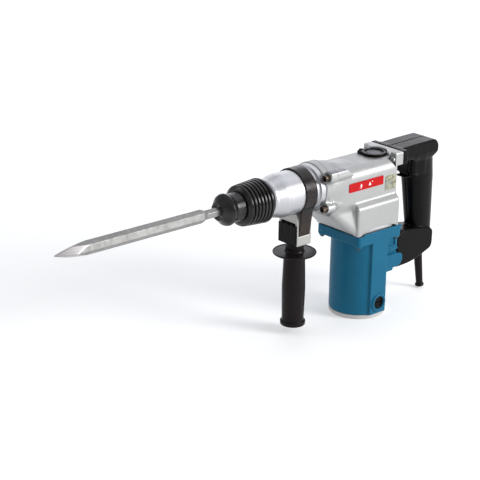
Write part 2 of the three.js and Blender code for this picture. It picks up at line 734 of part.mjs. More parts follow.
// The bar is hexagonal, drawn in at the shoulder and ground to a four-sided point.
function chisel() {
  const turn = THREE.MathUtils.degToRad(17);
  const ring = (x, af) => hexagon(af, turn).map(([y, z]) => [x, y, z]);
  const bar = loft([
    ring(TIP_X, 1.6), ring(TIP_X + 14, 9), ring(TIP_X + 46, BAR_AF), ring(-420, BAR_AF),
    ring(SHOULDER_X - 4, 15.6), ring(SHOULDER_X, 14.4),
  ]);
  const shank = prism('x', hexagon(SHANK_AF, Math.PI / 6), SHOULDER_X - 1, SHANK_END);
  const notch = box([BALL_X - 4.2, BALL_X + 16.2], [-8, 8], [4, 9]);
  return cut(join(bar, shank), notch);
}

function buildFront() {
  add(hammerLine, 'barrel', 'machined', barrel());
  add(hammerLine, 'tool_holder', 'steel', toolHolder());
  add(hammerLine, 'retaining_ball', 'steel', retainingBall());
  add(hammerLine, 'lock_ring', 'steel', lockRing());
  add(hammerLine, 'release_sleeve', 'rubber', releaseSleeve());
  add(hammerLine, 'sleeve_spring', 'steel', tube('x', 12.2, 14.6, -239.7, -222.5));
  add(hammerLine, 'nose_cap', 'rubber', noseCap());
  add(hammerLine, 'chisel', 'forged', chisel());
}

// ---------------------------------------------------------------- side handle, from x = SIDE_X

// The strap hugs the barrel and its two ends hang straight down beside the saddle.
function clampBand() {
  const leave = THREE.MathUtils.degToRad(-42);
  const end = [20.4, -66];
  const outline = new THREE.Shape();
  const at = (r, t) => [r * Math.cos(t), r * Math.sin(t)];
  outline.moveTo(end[0], end[1]);
  outline.lineTo(...at(BAND.r1, leave));
  outline.absarc(0, 0, BAND.r1, leave, Math.PI - leave);
  outline.lineTo(-end[0], end[1]);
  outline.lineTo(-end[0] + 2, end[1]);
  outline.lineTo(...at(BAND.r0, Math.PI - leave));
  outline.absarc(0, 0, BAND.r0, Math.PI - leave, leave, true);
  outline.lineTo(end[0] - 2, end[1]);
  const geometry = new THREE.ExtrudeGeometry(outline, {
    depth: BAND.width, bevelEnabled: false, curveSegments: 26,
  });
  const basis = new THREE.Matrix4().makeBasis(
    new THREE.Vector3(0, 1, 0), new THREE.Vector3(0, 0, 1), new THREE.Vector3(1, 0, 0));
  return toSolid(geometry.translate(0, 0, -BAND.width / 2).applyMatrix4(basis));
}

function clampSaddle() {
  const block = prism('x', [
    [-20.5, -82], [20.5, -82], [20.5, -40], [15, -22], [-15, -22], [-20.5, -40],
  ], -14.5, 14.5);
  const channel = (side) => prism('x', [
    [17.9, -66.4], [26, -66.4], [32, -20], [23.6, -20],
  ].map(([y, z]) => [side * y, z]), -11.5, 11.5);
  return cut(
    block,
    rod('x', BAND.r0, -30, 30, 36),
    channel(-1),
    channel(1),
    box([-20, 20], [-15.3, 15.3], [-90, -46.5]),
    rod('z', 4.3, -50, -30, 16),
  );
}

function clampBlock() {
  const block = prism('y', [
    [-14.5, -50], [-14.5, -68], [-11, -74], [11, -74], [14.5, -68], [14.5, -50], [11, -46.8], [-11, -46.8],
  ], -15, 15);
  return cut(block, rod('z', 4.3, -80, -40, 16));
}

function sideGrip() {
  const z = DISC_Z;
  const grip = turned('z', [
    [0, GRIP_END_Z], [17, GRIP_END_Z], [19.6, GRIP_END_Z + 2], [19.6, GRIP_END_Z + 7],
    [17, GRIP_END_Z + 10], [18, -150], [16.5, -104], [30, z - 3.2], [33.6, z - 2.4], [33, z],
    [14, z], [14, -74.4], [0, -74.4],
  ]);
  return cut(grip, rod('z', 4.3, -180.3, -70, 16));
}

function buildSideHandle() {
  add(sideHandle, 'clamp_band', 'blackened', clampBand());
  add(sideHandle, 'clamp_saddle', 'aluminium', clampSaddle());
  add(sideHandle, 'clamp_block', 'black', clampBlock());
  add(sideHandle, 'clamp_stud', 'steel', rod('z', 4, -180, -38, 16));
  add(sideHandle, 'side_grip', 'black', sideGrip());
}

// ---------------------------------------------------------------- rear handle, from the hammer line

const GRIP_HALF = { x: 25, y: 19.6 };
const gripCentre = (z) => 127.2 - 0.084 * (Math.max(z, -112) + 40);

function handleBody() {
  const topArm = prism('y', [
    [HANDLE_X0, BRACKET.z0], [HANDLE_X0, BRACKET.z1], [86, 33.5], [135, 33.5], [143.5, 30], [148.5, 23],
    [149, 13], [146, 3], [100, 3], [70, 8],
  ], -24.6, 24.6);
  const flange = box([HANDLE_X0, 64], [-BRACKET.y, BRACKET.y], [BRACKET.z0, BRACKET.z1]);
  const levels = [12, -40, -80, -120, -146];
  const grip = loft(levels.map((z) => ovalRing(gripCentre(z), z, GRIP_HALF.x, GRIP_HALF.y)));
  const base = prism('y', [
    [BASE_X0, -113], [BASE_X0, -168], [74, -170], [96, -168], [126, -161], [147, -151], [149, -126],
    [147, -119], [112, -111], [92, -110], [82, -108],
  ], -20.5, 20.5);
  return join(topArm, flange, grip, base);
}

function handleHollow() {
  const levels = [14, -40, -80, -120, -140];
  return join(
    box([HANDLE_X0 + 4, 140], [-20.5, 20.5], [13, 28]),
    loft(levels.map((z) => ovalRing(gripCentre(z), z, GRIP_HALF.x - 3.5, GRIP_HALF.y - 3.5))),
    box([BASE_X0 + 4, 141], [-16.5, 16.5], [-152, -121]),
    box([90, 125], [-9.4, 9.4], [-22.4, 4.4]),
    [-1, 1].map((sy) =>
      rod('x', 2.8, HANDLE_X0 - 1, 63, 8).translate([0, sy * HANDLE_SCREW.y, HANDLE_SCREW.z])),
  );
}

const GUARD_TILT = THREE.MathUtils.degToRad(8);
const GUARD_TOP = [136.3, 0, -148];

function guardPlace(solid) {
  return solid.rotate([0, -THREE.MathUtils.radToDeg(GUARD_TILT), 0]).translate(GUARD_TOP);
}

function handleHalf(side) {
  const half = box([40, 170], [GAP / 2, 60], [-200, 40]).scale([1, side, 1]);
  const guardHole = guardPlace(rod('z', 8.4, -40, 3, 20));
  const buttonHole = rod('y', 5.3, 0, 40, 20).translate([126, 0, -2]);
  return cut(handleBody(), handleHollow(), guardHole, buttonHole).intersect(half);
}

function cordGuard() {
  const length = 78;
  const profile = [
    [2.8, 0], [8, 0], [8, -12], [7, -20], [5.7, -length + 4], [7.3, -length + 3], [7.3, -length],
    [2.8, -length], [2.8, 0],
  ];
  return guardPlace(turned('z', profile, 20));
}

function trigger() {
  const outline = [[95, -2], [97, 3.6], [112, 4], [112, -22], [96, -22], [93, -20], [97, -17], [96, -10]];
  return prism('y', outline, -9, 9);
}

function buildRearHandle() {
  add(hammerLine, 'handle_left', 'black', handleHalf(-1));
  add(hammerLine, 'handle_right', 'black', handleHalf(1));
  add(hammerLine, 'switch_body', 'black', box([119, 138], [-9, 9], [-22, 5]));
  add(hammerLine, 'trigger', 'black', trigger());
  add(hammerLine, 'lock_button', 'black', rod('y', 5, 12, 21.6).translate([126, 0, -2]));
  add(hammerLine, 'cord_guard', 'rubber', cordGuard());
}

buildMotor();
buildGearHousing();
buildMechanism();
buildFront();
buildSideHandle();
buildRearHandle();

export default part;
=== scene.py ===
"""The looks of a corded demolition hammer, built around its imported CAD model.

Shapes are in millimetres from the hammer line: the axis that the barrel, the piston and the chisel share.
X runs back from the chisel, Z is up, and -Y is the side with the name plate. Castings and mouldings are
distance fields: each is a number per sample point, negative inside, and smooth unions give the fillets.
"""

import math

import bmesh
import bpy
import numpy as np
import openvdb
from mathutils import Matrix, Vector


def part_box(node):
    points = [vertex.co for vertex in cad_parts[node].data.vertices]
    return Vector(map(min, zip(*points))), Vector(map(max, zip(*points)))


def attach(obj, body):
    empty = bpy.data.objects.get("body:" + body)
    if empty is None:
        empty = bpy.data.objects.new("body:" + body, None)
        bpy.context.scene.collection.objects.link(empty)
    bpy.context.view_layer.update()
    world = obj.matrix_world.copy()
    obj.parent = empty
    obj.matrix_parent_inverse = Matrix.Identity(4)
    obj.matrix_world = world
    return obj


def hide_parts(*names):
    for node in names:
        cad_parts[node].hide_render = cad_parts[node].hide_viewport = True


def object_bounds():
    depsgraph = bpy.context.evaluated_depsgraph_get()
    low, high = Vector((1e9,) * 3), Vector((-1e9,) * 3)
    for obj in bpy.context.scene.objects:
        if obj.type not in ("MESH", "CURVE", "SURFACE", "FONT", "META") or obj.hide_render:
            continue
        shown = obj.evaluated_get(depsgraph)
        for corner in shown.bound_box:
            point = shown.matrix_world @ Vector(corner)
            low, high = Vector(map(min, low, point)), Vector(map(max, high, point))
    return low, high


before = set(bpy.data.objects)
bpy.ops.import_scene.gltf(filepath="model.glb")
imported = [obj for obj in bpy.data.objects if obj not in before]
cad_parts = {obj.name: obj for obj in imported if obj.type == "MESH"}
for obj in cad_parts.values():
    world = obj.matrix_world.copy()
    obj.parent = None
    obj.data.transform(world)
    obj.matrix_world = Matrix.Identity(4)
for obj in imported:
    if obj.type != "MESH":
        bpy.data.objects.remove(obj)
cad_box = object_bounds()

MM = 0.001
LINE_Z = sum(corner.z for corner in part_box("cylinder")) / 2 / MM


def span(node):
    """The lowest and highest corner of a CAD node, in millimetres from the hammer line."""
    return [[c.x / MM, c.y / MM, c.z / MM - LINE_Z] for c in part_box(node)]


def middle(node):
    return [(a + b) / 2 for a, b in zip(*span(node))]


def ends(node, axis):
    return [corner[axis] for corner in span(node)]


def turned_by(u, v, angle):
    """The coordinates along and across a direction of the u, v plane."""
    c, s = math.cos(angle), math.sin(angle)
    return u * c + v * s, v * c - u * s


# ---------------- camera, light and floor

def add_object(name, data):
    made = bpy.data.objects.new(name, data)
    bpy.context.scene.collection.objects.link(made)
    return made


AZIMUTH, ELEVATION, ROLL = (math.radians(a) for a in (-41.42, 20.36, 0.85))
EYE = Vector((-1.698, -1.6407, 0.7586 + LINE_Z * MM))
LENS = 119.5


def make_camera():
    cos_e = math.cos(ELEVATION)
    back = Vector((math.sin(AZIMUTH) * cos_e, -math.cos(AZIMUTH) * cos_e, math.sin(ELEVATION)))
    right = Vector((math.cos(AZIMUTH), math.sin(AZIMUTH), 0))
    up = back.cross(right)
    turned_right = right * math.cos(ROLL) + up * math.sin(ROLL)
    turned_up = up * math.cos(ROLL) - right * math.sin(ROLL)
    data = bpy.data.cameras.new("camera")
    data.lens = LENS
    data.sensor_width = 36
    data.clip_end = 100
    camera = add_object("camera", data)
    axes = Matrix((turned_right, turned_up, back)).transposed()
    camera.matrix_world = Matrix.Translation(EYE) @ axes.to_4x4()
    bpy.context.scene.camera = camera


def area_light(name, place, size, power, colour=(1, 1, 1)):
    data = bpy.data.lights.new(name, "AREA")
    data.shape = "DISK"
    data.size = size
    data.energy = power
    data.color = colour
    light = add_object(name, data)
    light.location = place
    target = Vector((-0.1, 0, 0.2))
    light.rotation_euler = (target - Vector(place)).to_track_quat("-Z", "Y").to_euler()


def make_studio():
    world = bpy.data.worlds.new("studio")
    world.use_nodes = True
    background = world.node_tree.nodes["Background"]
    background.inputs["Color"].default_value = (0.93, 0.96, 1, 1)
    background.inputs["Strength"].default_value = 0.5
    bpy.context.scene.world = world
    area_light("key", (1.45, -2.6, 1.4), 1.5, 88)
    area_light("overhead", (1.0, 0.1, 2.1), 2.0, 10, (0.95, 0.95, 1))
    area_light("back_panel", (1.9, 2.2, 1.3), 2.4, 18, (0.95, 0.94, 1))
    area_light("far_side", (-1.9, 1.7, 1.2), 1.0, 6)
    bpy.context.scene.view_settings.view_transform = "Standard"


def make_floor():
    half = 40
    mesh = bpy.data.meshes.new("floor")
    corners = [(-half, -half, 0), (half, -half, 0), (half, half, 0), (-half, half, 0)]
    mesh.from_pydata(corners, [], [(0, 1, 2, 3)])
    floor = add_object("floor", mesh)
    floor.location.z = cad_box[0].z
    paper = Look("floor_paper", (0.8, 0.8, 0.8), 0.95)
    paper.shader.inputs["Emission Color"].default_value = (1, 1, 1, 1)
    paper.shader.inputs["Emission Strength"].default_value = 0.3
    floor.data.materials.append(paper.material)


# ---------------- materials


class Look:
    """A Principled material with procedural colour, roughness and bump, in object coordinates."""

    def __init__(self, name, colour, roughness, metallic=0.0, specular=0.5, coat=0.0):
        self.material = bpy.data.materials.new(name)
        self.material.use_nodes = True
        self.tree = self.material.node_tree
        self.shader = self.tree.nodes["Principled BSDF"]
        self.shader.inputs["Base Color"].default_value = (*colour, 1)
        self.shader.inputs["Roughness"].default_value = roughness
        self.shader.inputs["Metallic"].default_value = metallic
        self.shader.inputs["Specular IOR Level"].default_value = specular
        self.shader.inputs["Coat Weight"].default_value = coat
        self.material.diffuse_color = (*colour, 1)
        self.place = self.tree.nodes.new("ShaderNodeTexCoord").outputs["Object"]

    def node(self, kind, **values):
        made = self.tree.nodes.new(kind)
        for key, value in values.items():
            setattr(made, key, value)
        return made

    def link(self, output, target):
        self.tree.links.new(output, target)

    def stretched(self, scale):
        """Object coordinates scaled along each axis, so that noise becomes streaks."""
        mapping = self.node("ShaderNodeMapping")
        mapping.inputs["Scale"].default_value = scale
        self.link(self.place, mapping.inputs["Vector"])
        return mapping.outputs["Vector"]

    def noise(self, per_metre, detail=3.0, place=None):
        made = self.node("ShaderNodeTexNoise")
        made.inputs["Scale"].default_value = per_metre
        made.inputs["Detail"].default_value = detail
        self.link(place or self.place, made.inputs["Vector"])
        return made.outputs["Fac"]

    def ramp(self, value, low, high, start=0.3, end=0.7):
        """A value from low to high as the input goes from start to end."""
        made = self.node("ShaderNodeMapRange", interpolation_type="SMOOTHSTEP")
        for key, number in zip(("From Min", "From Max", "To Min", "To Max"), (start, end, low, high)):
            made.inputs[key].default_value = number
        self.link(value, made.inputs["Value"])
        return made.outputs["Result"]

    def tint(self, value, colour, start=0.3, end=0.7, amount=1.0):
        """Mixes colour over what feeds the base colour, where value is high."""
        mixer = self.node("ShaderNodeMix", data_type="RGBA")
        sockets = {socket.identifier: socket for socket in (*mixer.inputs, *mixer.outputs)}
        base = self.shader.inputs["Base Color"]
        if base.is_linked:
            self.link(base.links[0].from_socket, sockets["A_Color"])
        else:
            sockets["A_Color"].default_value = base.default_value[:]
        sockets["B_Color"].default_value = (*colour, 1)
        self.link(self.ramp(value, 0.0, amount, start, end), sockets["Factor_Float"])
        self.link(sockets["Result_Color"], base)

    # Lightens sharp edges found by Pointiness: partly edge wear, partly painted highlight along the
    # edges.
    def worn_and_highlit_edges(self, colour, start=0.51, end=0.56, amount=0.8):
        pointiness = self.node("ShaderNodeNewGeometry").outputs["Pointiness"]
        self.tint(pointiness, colour, start, end, amount)

    def axis(self, letter):
        """One object coordinate, in metres."""
        split = self.node("ShaderNodeSeparateXYZ")
        self.link(self.place, split.inputs["Vector"])
        return split.outputs[letter]

    def gloss(self, low, high, per_metre=60, place=None):
        value = self.ramp(self.noise(per_metre, 4.0, place), low, high)
        self.link(value, self.shader.inputs["Roughness"])

    def bump(self, per_metre, detail, depth_mm, place=None):
        made = self.node("ShaderNodeBump")
        made.inputs["Distance"].default_value = depth_mm * MM
        self.link(self.noise(per_metre, detail, place), made.inputs["Height"])
        normal = self.shader.inputs["Normal"]
        if normal.is_linked:
            self.link(normal.links[0].from_socket, made.inputs["Normal"])
        self.link(made.outputs["Normal"], normal)


def cast_look(name="cast_aluminium", colour=(0.42, 0.42, 0.415), metallic=0.82):
    look = Look(name, colour, 0.42, metallic)
    look.tint(look.noise(18, 3), tuple(0.9 * c for c in colour), amount=0.5)
    # Near-white edges: partly wear, partly painted highlight.
    look.worn_and_highlit_edges((0.86, 0.86, 0.87))
    look.gloss(0.40, 0.52, 45)
    look.bump(260, 2, 0.10)
    look.bump(1300, 3, 0.035)
    return look


def machined_look():
    look = Look("machined_aluminium", (0.52, 0.522, 0.54), 0.38, 0.9)
    streaks = look.stretched((60, 2, 2))
    look.tint(look.noise(14, 3, streaks), (0.47, 0.472, 0.49), amount=0.5)
    look.gloss(0.36, 0.42, 18, streaks)
    look.bump(60, 3, 0.004, streaks)
    return look


def steel_look(name="steel", colour=(0.47, 0.46, 0.44), roughness=(0.24, 0.4)):
    look = Look(name, colour, roughness[0], 1.0)
    look.tint(look.noise(90, 3), tuple(0.8 * c for c in colour), amount=0.6)
    look.gloss(*roughness, 120)
    look.bump(900, 2, 0.01)
    return look


def blackened_look():
    look = Look("blackened_steel", (0.022, 0.0195, 0.019), 0.34, 0.45, 0.25)
    look.tint(look.axis("Z"), (0.034, 0.024, 0.019), (LINE_Z - 34) * MM, (LINE_Z - 52) * MM)
    look.tint(look.noise(70, 4), (0.042, 0.032, 0.027), 0.5, 0.75, 0.6)
    look.worn_and_highlit_edges((0.22, 0.19, 0.17), 0.52, 0.6, 0.6)
    look.gloss(0.22, 0.38, 90)
    look.bump(700, 3, 0.02)
    return look


def bolt_look():
    look = Look("bolt_steel", (0.045, 0.038, 0.033), 0.28, 0.85)
    look.tint(look.noise(220, 3), (0.14, 0.10, 0.075), 0.42, 0.62)
    look.gloss(0.2, 0.4, 300)
    return look


def plastic_look(name, colour, roughness, grain=0.02, specular=0.4, shade=0.8):
    """Moulded plastic: a spark-eroded grain, slightly uneven colour and gloss."""
    look = Look(name, colour, roughness[0], 0.0, specular)
    look.tint(look.noise(25, 3), tuple(shade * c for c in colour), amount=0.7)
    look.gloss(*roughness, 60)
    look.bump(1500, 2, grain)
    return look


def teal_look():
    look = plastic_look("teal_plastic", (0.010, 0.116, 0.204), (0.30, 0.40), 0.015, 0.09, 0.92)
    # Lighter teal along the edges is painted highlight.
    look.worn_and_highlit_edges((0.10, 0.28, 0.46), 0.515, 0.58, 0.6)
    return look


def rubber_look():
    look = Look("glossy_rubber", (0.005, 0.0047, 0.0052), 0.2, 0.0, 0.32)
    look.tint(look.noise(60, 4), (0.02, 0.019, 0.018), 0.4, 0.7)
    look.gloss(0.17, 0.34, 80)
    look.bump(240, 3, 0.03)
    return look


def forged_look():
    look = Look("forged_steel", (0.285, 0.282, 0.275), 0.5, 0.7)
    look.tint(look.noise(120, 5), (0.245, 0.243, 0.235), 0.35, 0.65)
    look.tint(look.noise(35, 3), (0.31, 0.305, 0.295), 0.45, 0.7, 0.6)
    look.worn_and_highlit_edges((0.66, 0.66, 0.62), 0.515, 0.57, 0.7)
    look.gloss(0.42, 0.58, 150)
    look.bump(420, 4, 0.07)
    return look


def ground_look():
    look = Look("ground_steel", (0.46, 0.44, 0.44), 0.38, 0.75)
    streaks = look.stretched((1, 9, 9))
    look.tint(look.noise(120, 3, streaks), (0.38, 0.365, 0.37), amount=0.7)
    look.gloss(0.28, 0.42, 160, streaks)
    look.bump(160, 3, 0.03, streaks)
    return look


def label_look():
    look = Look("red_label", (0.45, 0.006, 0.008), 0.3, 0.0, 0.1)
    look.tint(look.noise(70, 2), (0.50, 0.006, 0.006), amount=0.6)
    look.gloss(0.24, 0.36, 50)
    look.bump(500, 2, 0.01)
    return look


def sticker_look():
    """A foil sticker whose tint shifts in soft patches and thin bands."""
    look = Look("foil_sticker", (0.24, 0.23, 0.155), 0.3, 0.35)
    look.tint(look.noise(160, 2), (0.38, 0.39, 0.27), 0.42, 0.6)
    look.tint(look.noise(210, 2), (0.15, 0.14, 0.10), 0.5, 0.62)
    look.tint(look.noise(90, 1), (0.30, 0.36, 0.37), 0.58, 0.7, 0.4)
    look.gloss(0.2, 0.45, 200)
    return look


def make_looks():
    return {
        "cast": cast_look(),
        "milled": steel_look("milled_face", (0.27, 0.265, 0.29), (0.4, 0.5)),
        "saddle": cast_look("pale_cast", (0.42, 0.415, 0.39), 0.5),
        "machined": machined_look(),
        "steel": steel_look(),
        "blackened": blackened_look(),
        "bolt": bolt_look(),
        "black": plastic_look("black_plastic", (0.0032, 0.0027, 0.0031), (0.2, 0.3), 0.03, 0.1),
        "grip": plastic_look("grip_plastic", (0.013, 0.0095, 0.0100), (0.26, 0.36), 0.03, 0.1),
        "teal": teal_look(),
        "pale": plastic_look("pale_plastic", (0.52, 0.51, 0.49), (0.35, 0.5), 0.02, 0.3, 0.93),
        "disc": plastic_look("grey_plastic", (0.13, 0.13, 0.145), (0.45, 0.6), 0.02, 0.4),
        "rubber": rubber_look(),
        "forged": forged_look(),
        "ground": ground_look(),
        "label": label_look(),
        "mark": plastic_look("white_print", (0.85, 0.84, 0.82), (0.35, 0.45), 0.005, 0.5, 0.96),
        "sticker": sticker_look(),
        "copper": steel_look("copper", (0.60, 0.27, 0.13), (0.3, 0.45)),
        "brass": steel_look("brass", (0.62, 0.44, 0.16), (0.25, 0.4)),
        "carbon": plastic_look("carbon", (0.03, 0.03, 0.03), (0.55, 0.7), 0.03, 0.3),
        "paper": plastic_look("gasket_paper", (0.035, 0.03, 0.028), (0.6, 0.75), 0.05, 0.25),
    }


# ---------------- distance fields


class Grid:
    """Sample points that fill a box, as x, y and z arrays that broadcast together."""

    def __init__(self, lo, hi, step):
        self.step = step * 1.0
        margin = 3 * self.step
        self.lo = np.array(lo) - margin
        counts = np.ceil((np.array(hi) + margin - self.lo) / self.step).astype(int) + 1
        axes = [a + self.step * np.arange(n) for a, n in zip(self.lo, counts)]
        self.shape = tuple(counts)
        grids = np.meshgrid(*[a.astype(np.float32) for a in axes], indexing="ij", sparse=True)
        self.x, self.y, self.z = grids


def smooth_max(a, b, k):
    blend = np.maximum(k - np.abs(a - b), 0) / k
    return np.maximum(a, b) + blend * blend * k / 4


def union(k, first, *rest):
    """Joins fields with a fillet of about k."""
    for field in rest:
        first = -smooth_max(-first, -field, k)
    return first


def common(k, first, *rest):
    for field in rest:
        first = smooth_max(first, field, k)
    return first


def carve(k, solid, *tools):
    return common(k, solid, *[-tool for tool in tools])


def slab(v, low, high):
    return np.abs(v - (low + high) / 2) - abs(high - low) / 2


def rounded(r, *fields):
    """What lies inside all the fields, with edges of radius r."""
    shifted = [field + r for field in fields]
    outside = sum(np.maximum(field, 0) ** 2 for field in shifted)
    deepest = shifted[0]
    for field in shifted[1:]:
        deepest = np.maximum(deepest, field)
    return np.sqrt(outside) + np.minimum(deepest, 0) - r


def block(g, xs, half_width, zs, r=1.0):
    """A block astride the middle plane, with edges of radius r."""
    return rounded(r, slab(g.x, *xs), np.abs(g.y) - half_width, slab(g.z, *zs))


def rod(g, axis, r, centre, ends, edge=0.8):
    u, v, w = {"x": (g.y, g.z, g.x), "y": (g.x, g.z, g.y), "z": (g.x, g.y, g.z)}[axis]
    return rounded(edge, np.hypot(u - centre[0], v - centre[1]) - r, slab(w, *ends))


def convex(u, v, points, k):
    """A convex outline, listed anticlockwise, with corners rounded by about k."""
    field = None
    for (u0, v0), (u1, v1) in zip(points, points[1:] + points[:1]):
        length = math.hypot(u1 - u0, v1 - v0)
        side = ((u - u0) * (v1 - v0) - (v - v0) * (u1 - u0)) / length
        field = side if field is None else smooth_max(field, side, k)
    return field


def smoothstep(v, low, high):
    t = np.clip((v - low) / (high - low), 0, 1)
    return t * t * (3 - 2 * t)


def blurred(field):
    """Averages each sample with its neighbours, which rounds every edge a little."""
    for axis in range(3):
        padded = np.pad(field, [(1, 1) if a == axis else (0, 0) for a in range(3)], mode="edge")
        n = field.shape[axis]
        before, after = (np.take(padded, range(s, s + n), axis) for s in (0, 2))
        field = field / 2 + before / 4 + after / 4
    return field


# ---------------- meshes


def new_piece(name, points, faces):
    """A mesh object from points in millimetres from the hammer line."""
    mesh = bpy.data.meshes.new(name)
    placed = (np.array(points, float) + [0, 0, LINE_Z]) * MM
    mesh.from_pydata(placed.tolist(), [], faces)
    mesh.validate()
    mesh.shade_smooth()
    return add_object(name, mesh)


def skin(name, g, field, soften=1):
    """The surface where a field is zero."""
    field = np.broadcast_to(field, g.shape).astype(np.float32)
    for _ in range(soften):
        field = blurred(field)
    reach = 3 * g.step
    volume = openvdb.FloatGrid(reach)
    volume.copyFromArray(np.ascontiguousarray(np.clip(field, -reach, reach)))
    points, quads = volume.convertToQuads(isovalue=0.0)
    return new_piece(name, points * g.step + g.lo, quads.tolist())


def arcs(profile):
    """A profile of (radius, height) corners, each with an optional fillet as its third number."""
    points = []
    count = len(profile)
    for i, corner in enumerate(profile):
        here = Vector(corner[:2])
        if len(corner) < 3:
            points.append(here)
            continue
        before = (Vector(profile[i - 1][:2]) - here).normalized()
        after = (Vector(profile[(i + 1) % count][:2]) - here).normalized()
        half = before.angle(after) / 2
        reach = corner[2] / math.tan(half)
        centre = here + (before + after).normalized() * (corner[2] / math.sin(half))
        start, end = here + before * reach - centre, here + after * reach - centre
        for step in range(6):
            t = step / 5
            way = (start * (1 - t) + end * t).normalized()
            points.append(centre + way * corner[2])
    return points


def turned(name, profile, axis="x", centre=(0, 0, 0), sides=112):
    """Turns a closed profile about an axis through centre."""
    points = arcs(profile)
    n = len(points)
    verts = []
    for i in range(sides):
        t = 2 * math.pi * i / sides
        c, s = math.cos(t), math.sin(t)
        for r, h in points:
            ways = {"x": (h, r * c, r * s), "y": (r * s, h, r * c), "z": (r * c, r * s, h)}
            verts.append(ways[axis])
    faces = []
    for i in range(sides):
        a, b = i * n, (i + 1) % sides * n
        for k in range(n):
            after = (k + 1) % n
            faces.append((a + k, b + k, b + after, a + after))
    piece = new_piece(name, np.array(verts) + centre, faces)
    tidy(piece)
    return piece


def tidy(piece):
    """Merges what meets on the axis, turns faces outwards, and keeps flat faces flat."""
    edit = bmesh.new()
    edit.from_mesh(piece.data)
    bmesh.ops.remove_doubles(edit, verts=edit.verts, dist=2e-6)
    bmesh.ops.dissolve_degenerate(edit, edges=edit.edges, dist=1e-7)
    bmesh.ops.recalc_face_normals(edit, faces=edit.faces)
    edit.to_mesh(piece.data)
    edit.free()
    piece.data.set_sharp_from_angle(angle=math.radians(34))
    weighted = piece.modifiers.new("weighted", "WEIGHTED_NORMAL")
    weighted.keep_sharp = True


def face_centres(piece):
    """The middle of every face, in millimetres from the hammer line."""
    centres = np.zeros(len(piece.data.polygons) * 3)
    piece.data.polygons.foreach_get("center", centres)
    return (centres.reshape(-1, 3) / MM - [0, 0, LINE_Z]).T


def second_look(piece, look, chosen):
    """Gives the chosen faces another look than the rest of the piece."""
    piece.data.materials.append(looks[look].material)
    index = np.zeros(len(piece.data.polygons), np.int32)
    piece.data.polygons.foreach_get("material_index", index)
    index[chosen] = len(piece.data.materials) - 1
    piece.data.polygons.foreach_set("material_index", index)
    piece.data.update()


def plate(name, outline, ys, bevel):
    """A flat piece: an outline of (x, z) points, from one y to another, with soft edges."""
    n = len(outline)
    verts = [(x, y, z) for y in ys for x, z in outline]
    faces = [list(range(n)), list(range(2 * n - 1, n - 1, -1))]
    faces += [[i, i + n, (i + 1) % n + n, (i + 1) % n] for i in range(n)]
    piece = new_piece(name, verts, faces)
    edges = piece.modifiers.new("edges", "BEVEL")
    edges.width = bevel * MM
    edges.segments = 3
    edges.limit_method = "ANGLE"
    edges.angle_limit = math.radians(50)
    tidy(piece)
    return piece


def rounded_rectangle(xs, zs, r):
    steps = 8
    corners = [(xs[1] - r, zs[0] + r, -90), (xs[1] - r, zs[1] - r, 0),
               (xs[0] + r, zs[1] - r, 90), (xs[0] + r, zs[0] + r, 180)]
    points = []
    for x, z, start in corners:
        for i in range(steps + 1):
            t = math.radians(start + 90 * i / steps)
            points.append((x + r * math.cos(t), z + r * math.sin(t)))
    return points


def dress(piece, look, body, slot, *nodes):
    """Gives a piece its material and body, and hides the CAD nodes that it stands for."""
    piece.data.materials.append(looks[look].material)
    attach(piece, body)
    if nodes:
        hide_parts(*nodes)
    return piece


# ---------------- gear housing

SIDE_Y = 37.8                # flat sides of the upper casting
DECK_Z = 24.8                # flat top of the upper casting
BODY_REAR = 39               # back face
HANDLE_X, _ = ends("handle_left", 0)
FLANGE_R = 38.5              # round joint between the casting and the barrel
FLANGE_Y = 46.7              # flat sides of the lower casting and of the motor flange
REAR_FACE = 66               # where the rear extension of the motor meets the base of the handle
LOWER_FRONT, LOWER_TOP = -51.5, -29
ARCH_REACH = {"y": 42.4, "front": -46}     # how far the arches reach in from the bottom edge
BOLT_HOLE_R = 3.4
UPPER_BOLT = (-39.5, 24)     # y and z of the bolts of the barrel flange
FAR_BOLT = (41.5, 12)
LOWER_BOLTS = ((-36.5, -25.5), (36.5, -25.5))
BOLTS = (UPPER_BOLT, FAR_BOLT, *LOWER_BOLTS)
BOSS = {"side": 48.3, "edge": 31.2, "top": 32.4, "top_side": 47.2}     # flat boss round the upper bolt


def body_field(g, joint):
    """Round at the barrel joint, then a step down to a boxy body with a flat deck."""
    x, y, z = g.x, np.abs(g.y), g.z
    cone = (np.hypot(y, z) - 36.2 + 12 * smoothstep(x, joint + 9, -34)) * 0.95
    cone = rounded(1, cone, slab(x, joint - 9, -36))
    boxy = rounded(17, y - SIDE_Y, slab(z, -45, DECK_Z))
    body = rounded(1.5, boxy, slab(x, joint + 4, BODY_REAR))
    rim = rod(g, "x", FLANGE_R, (0, 0), (joint - 9, joint + 6.5), 1)
    wall = block(g, (joint - 9, -60), SIDE_Y, (-32.5, 18), 2.5)
    return union(1, union(0.3, union(7, body, cone), wall), rim)


def boss_outline(g, low, side, top):
    side_corners = [side, (BOSS["side"], BOSS["edge"]), (BOSS["top_side"], BOSS["top"])]
    return convex(-g.y, g.z, [low, *side_corners, top], 0.9)


def mill_boss_top(piece):
    _, y, z = face_centres(piece)
    second_look(piece, "milled", (z > BOSS["top"] - 0.5) & (y < -35))


def upper_boss(g):
    """The long boss on the name plate side: a flat top, and a rear end cut back both ways."""
    flat = boss_outline(g, (34.5, 22), (BOSS["side"], 22), (34.5, BOSS["top"]))
    round_part = np.hypot(g.y - UPPER_BOLT[0], g.z - UPPER_BOLT[1]) - 8.8
    above = ((g.x + 80) * 11.4 + (g.z - BOSS["top"]) * 15) / 18.84
    below = ((g.x + 65) * 9 - (g.z - 21) * 13) / 15.81
    return common(1.2, union(1.5, flat, round_part), above, below)


def bolt_distance(g):
    """How far each point is from the nearest bolt axis of the barrel flange."""
    return np.min([np.hypot(g.y - y, g.z - z) for y, z in BOLTS], axis=0)


def far_boss(g):
    section = np.hypot(g.y - FAR_BOLT[0], g.z - FAR_BOLT[1]) - 8.3
    return rounded(2, section, g.x + 87)


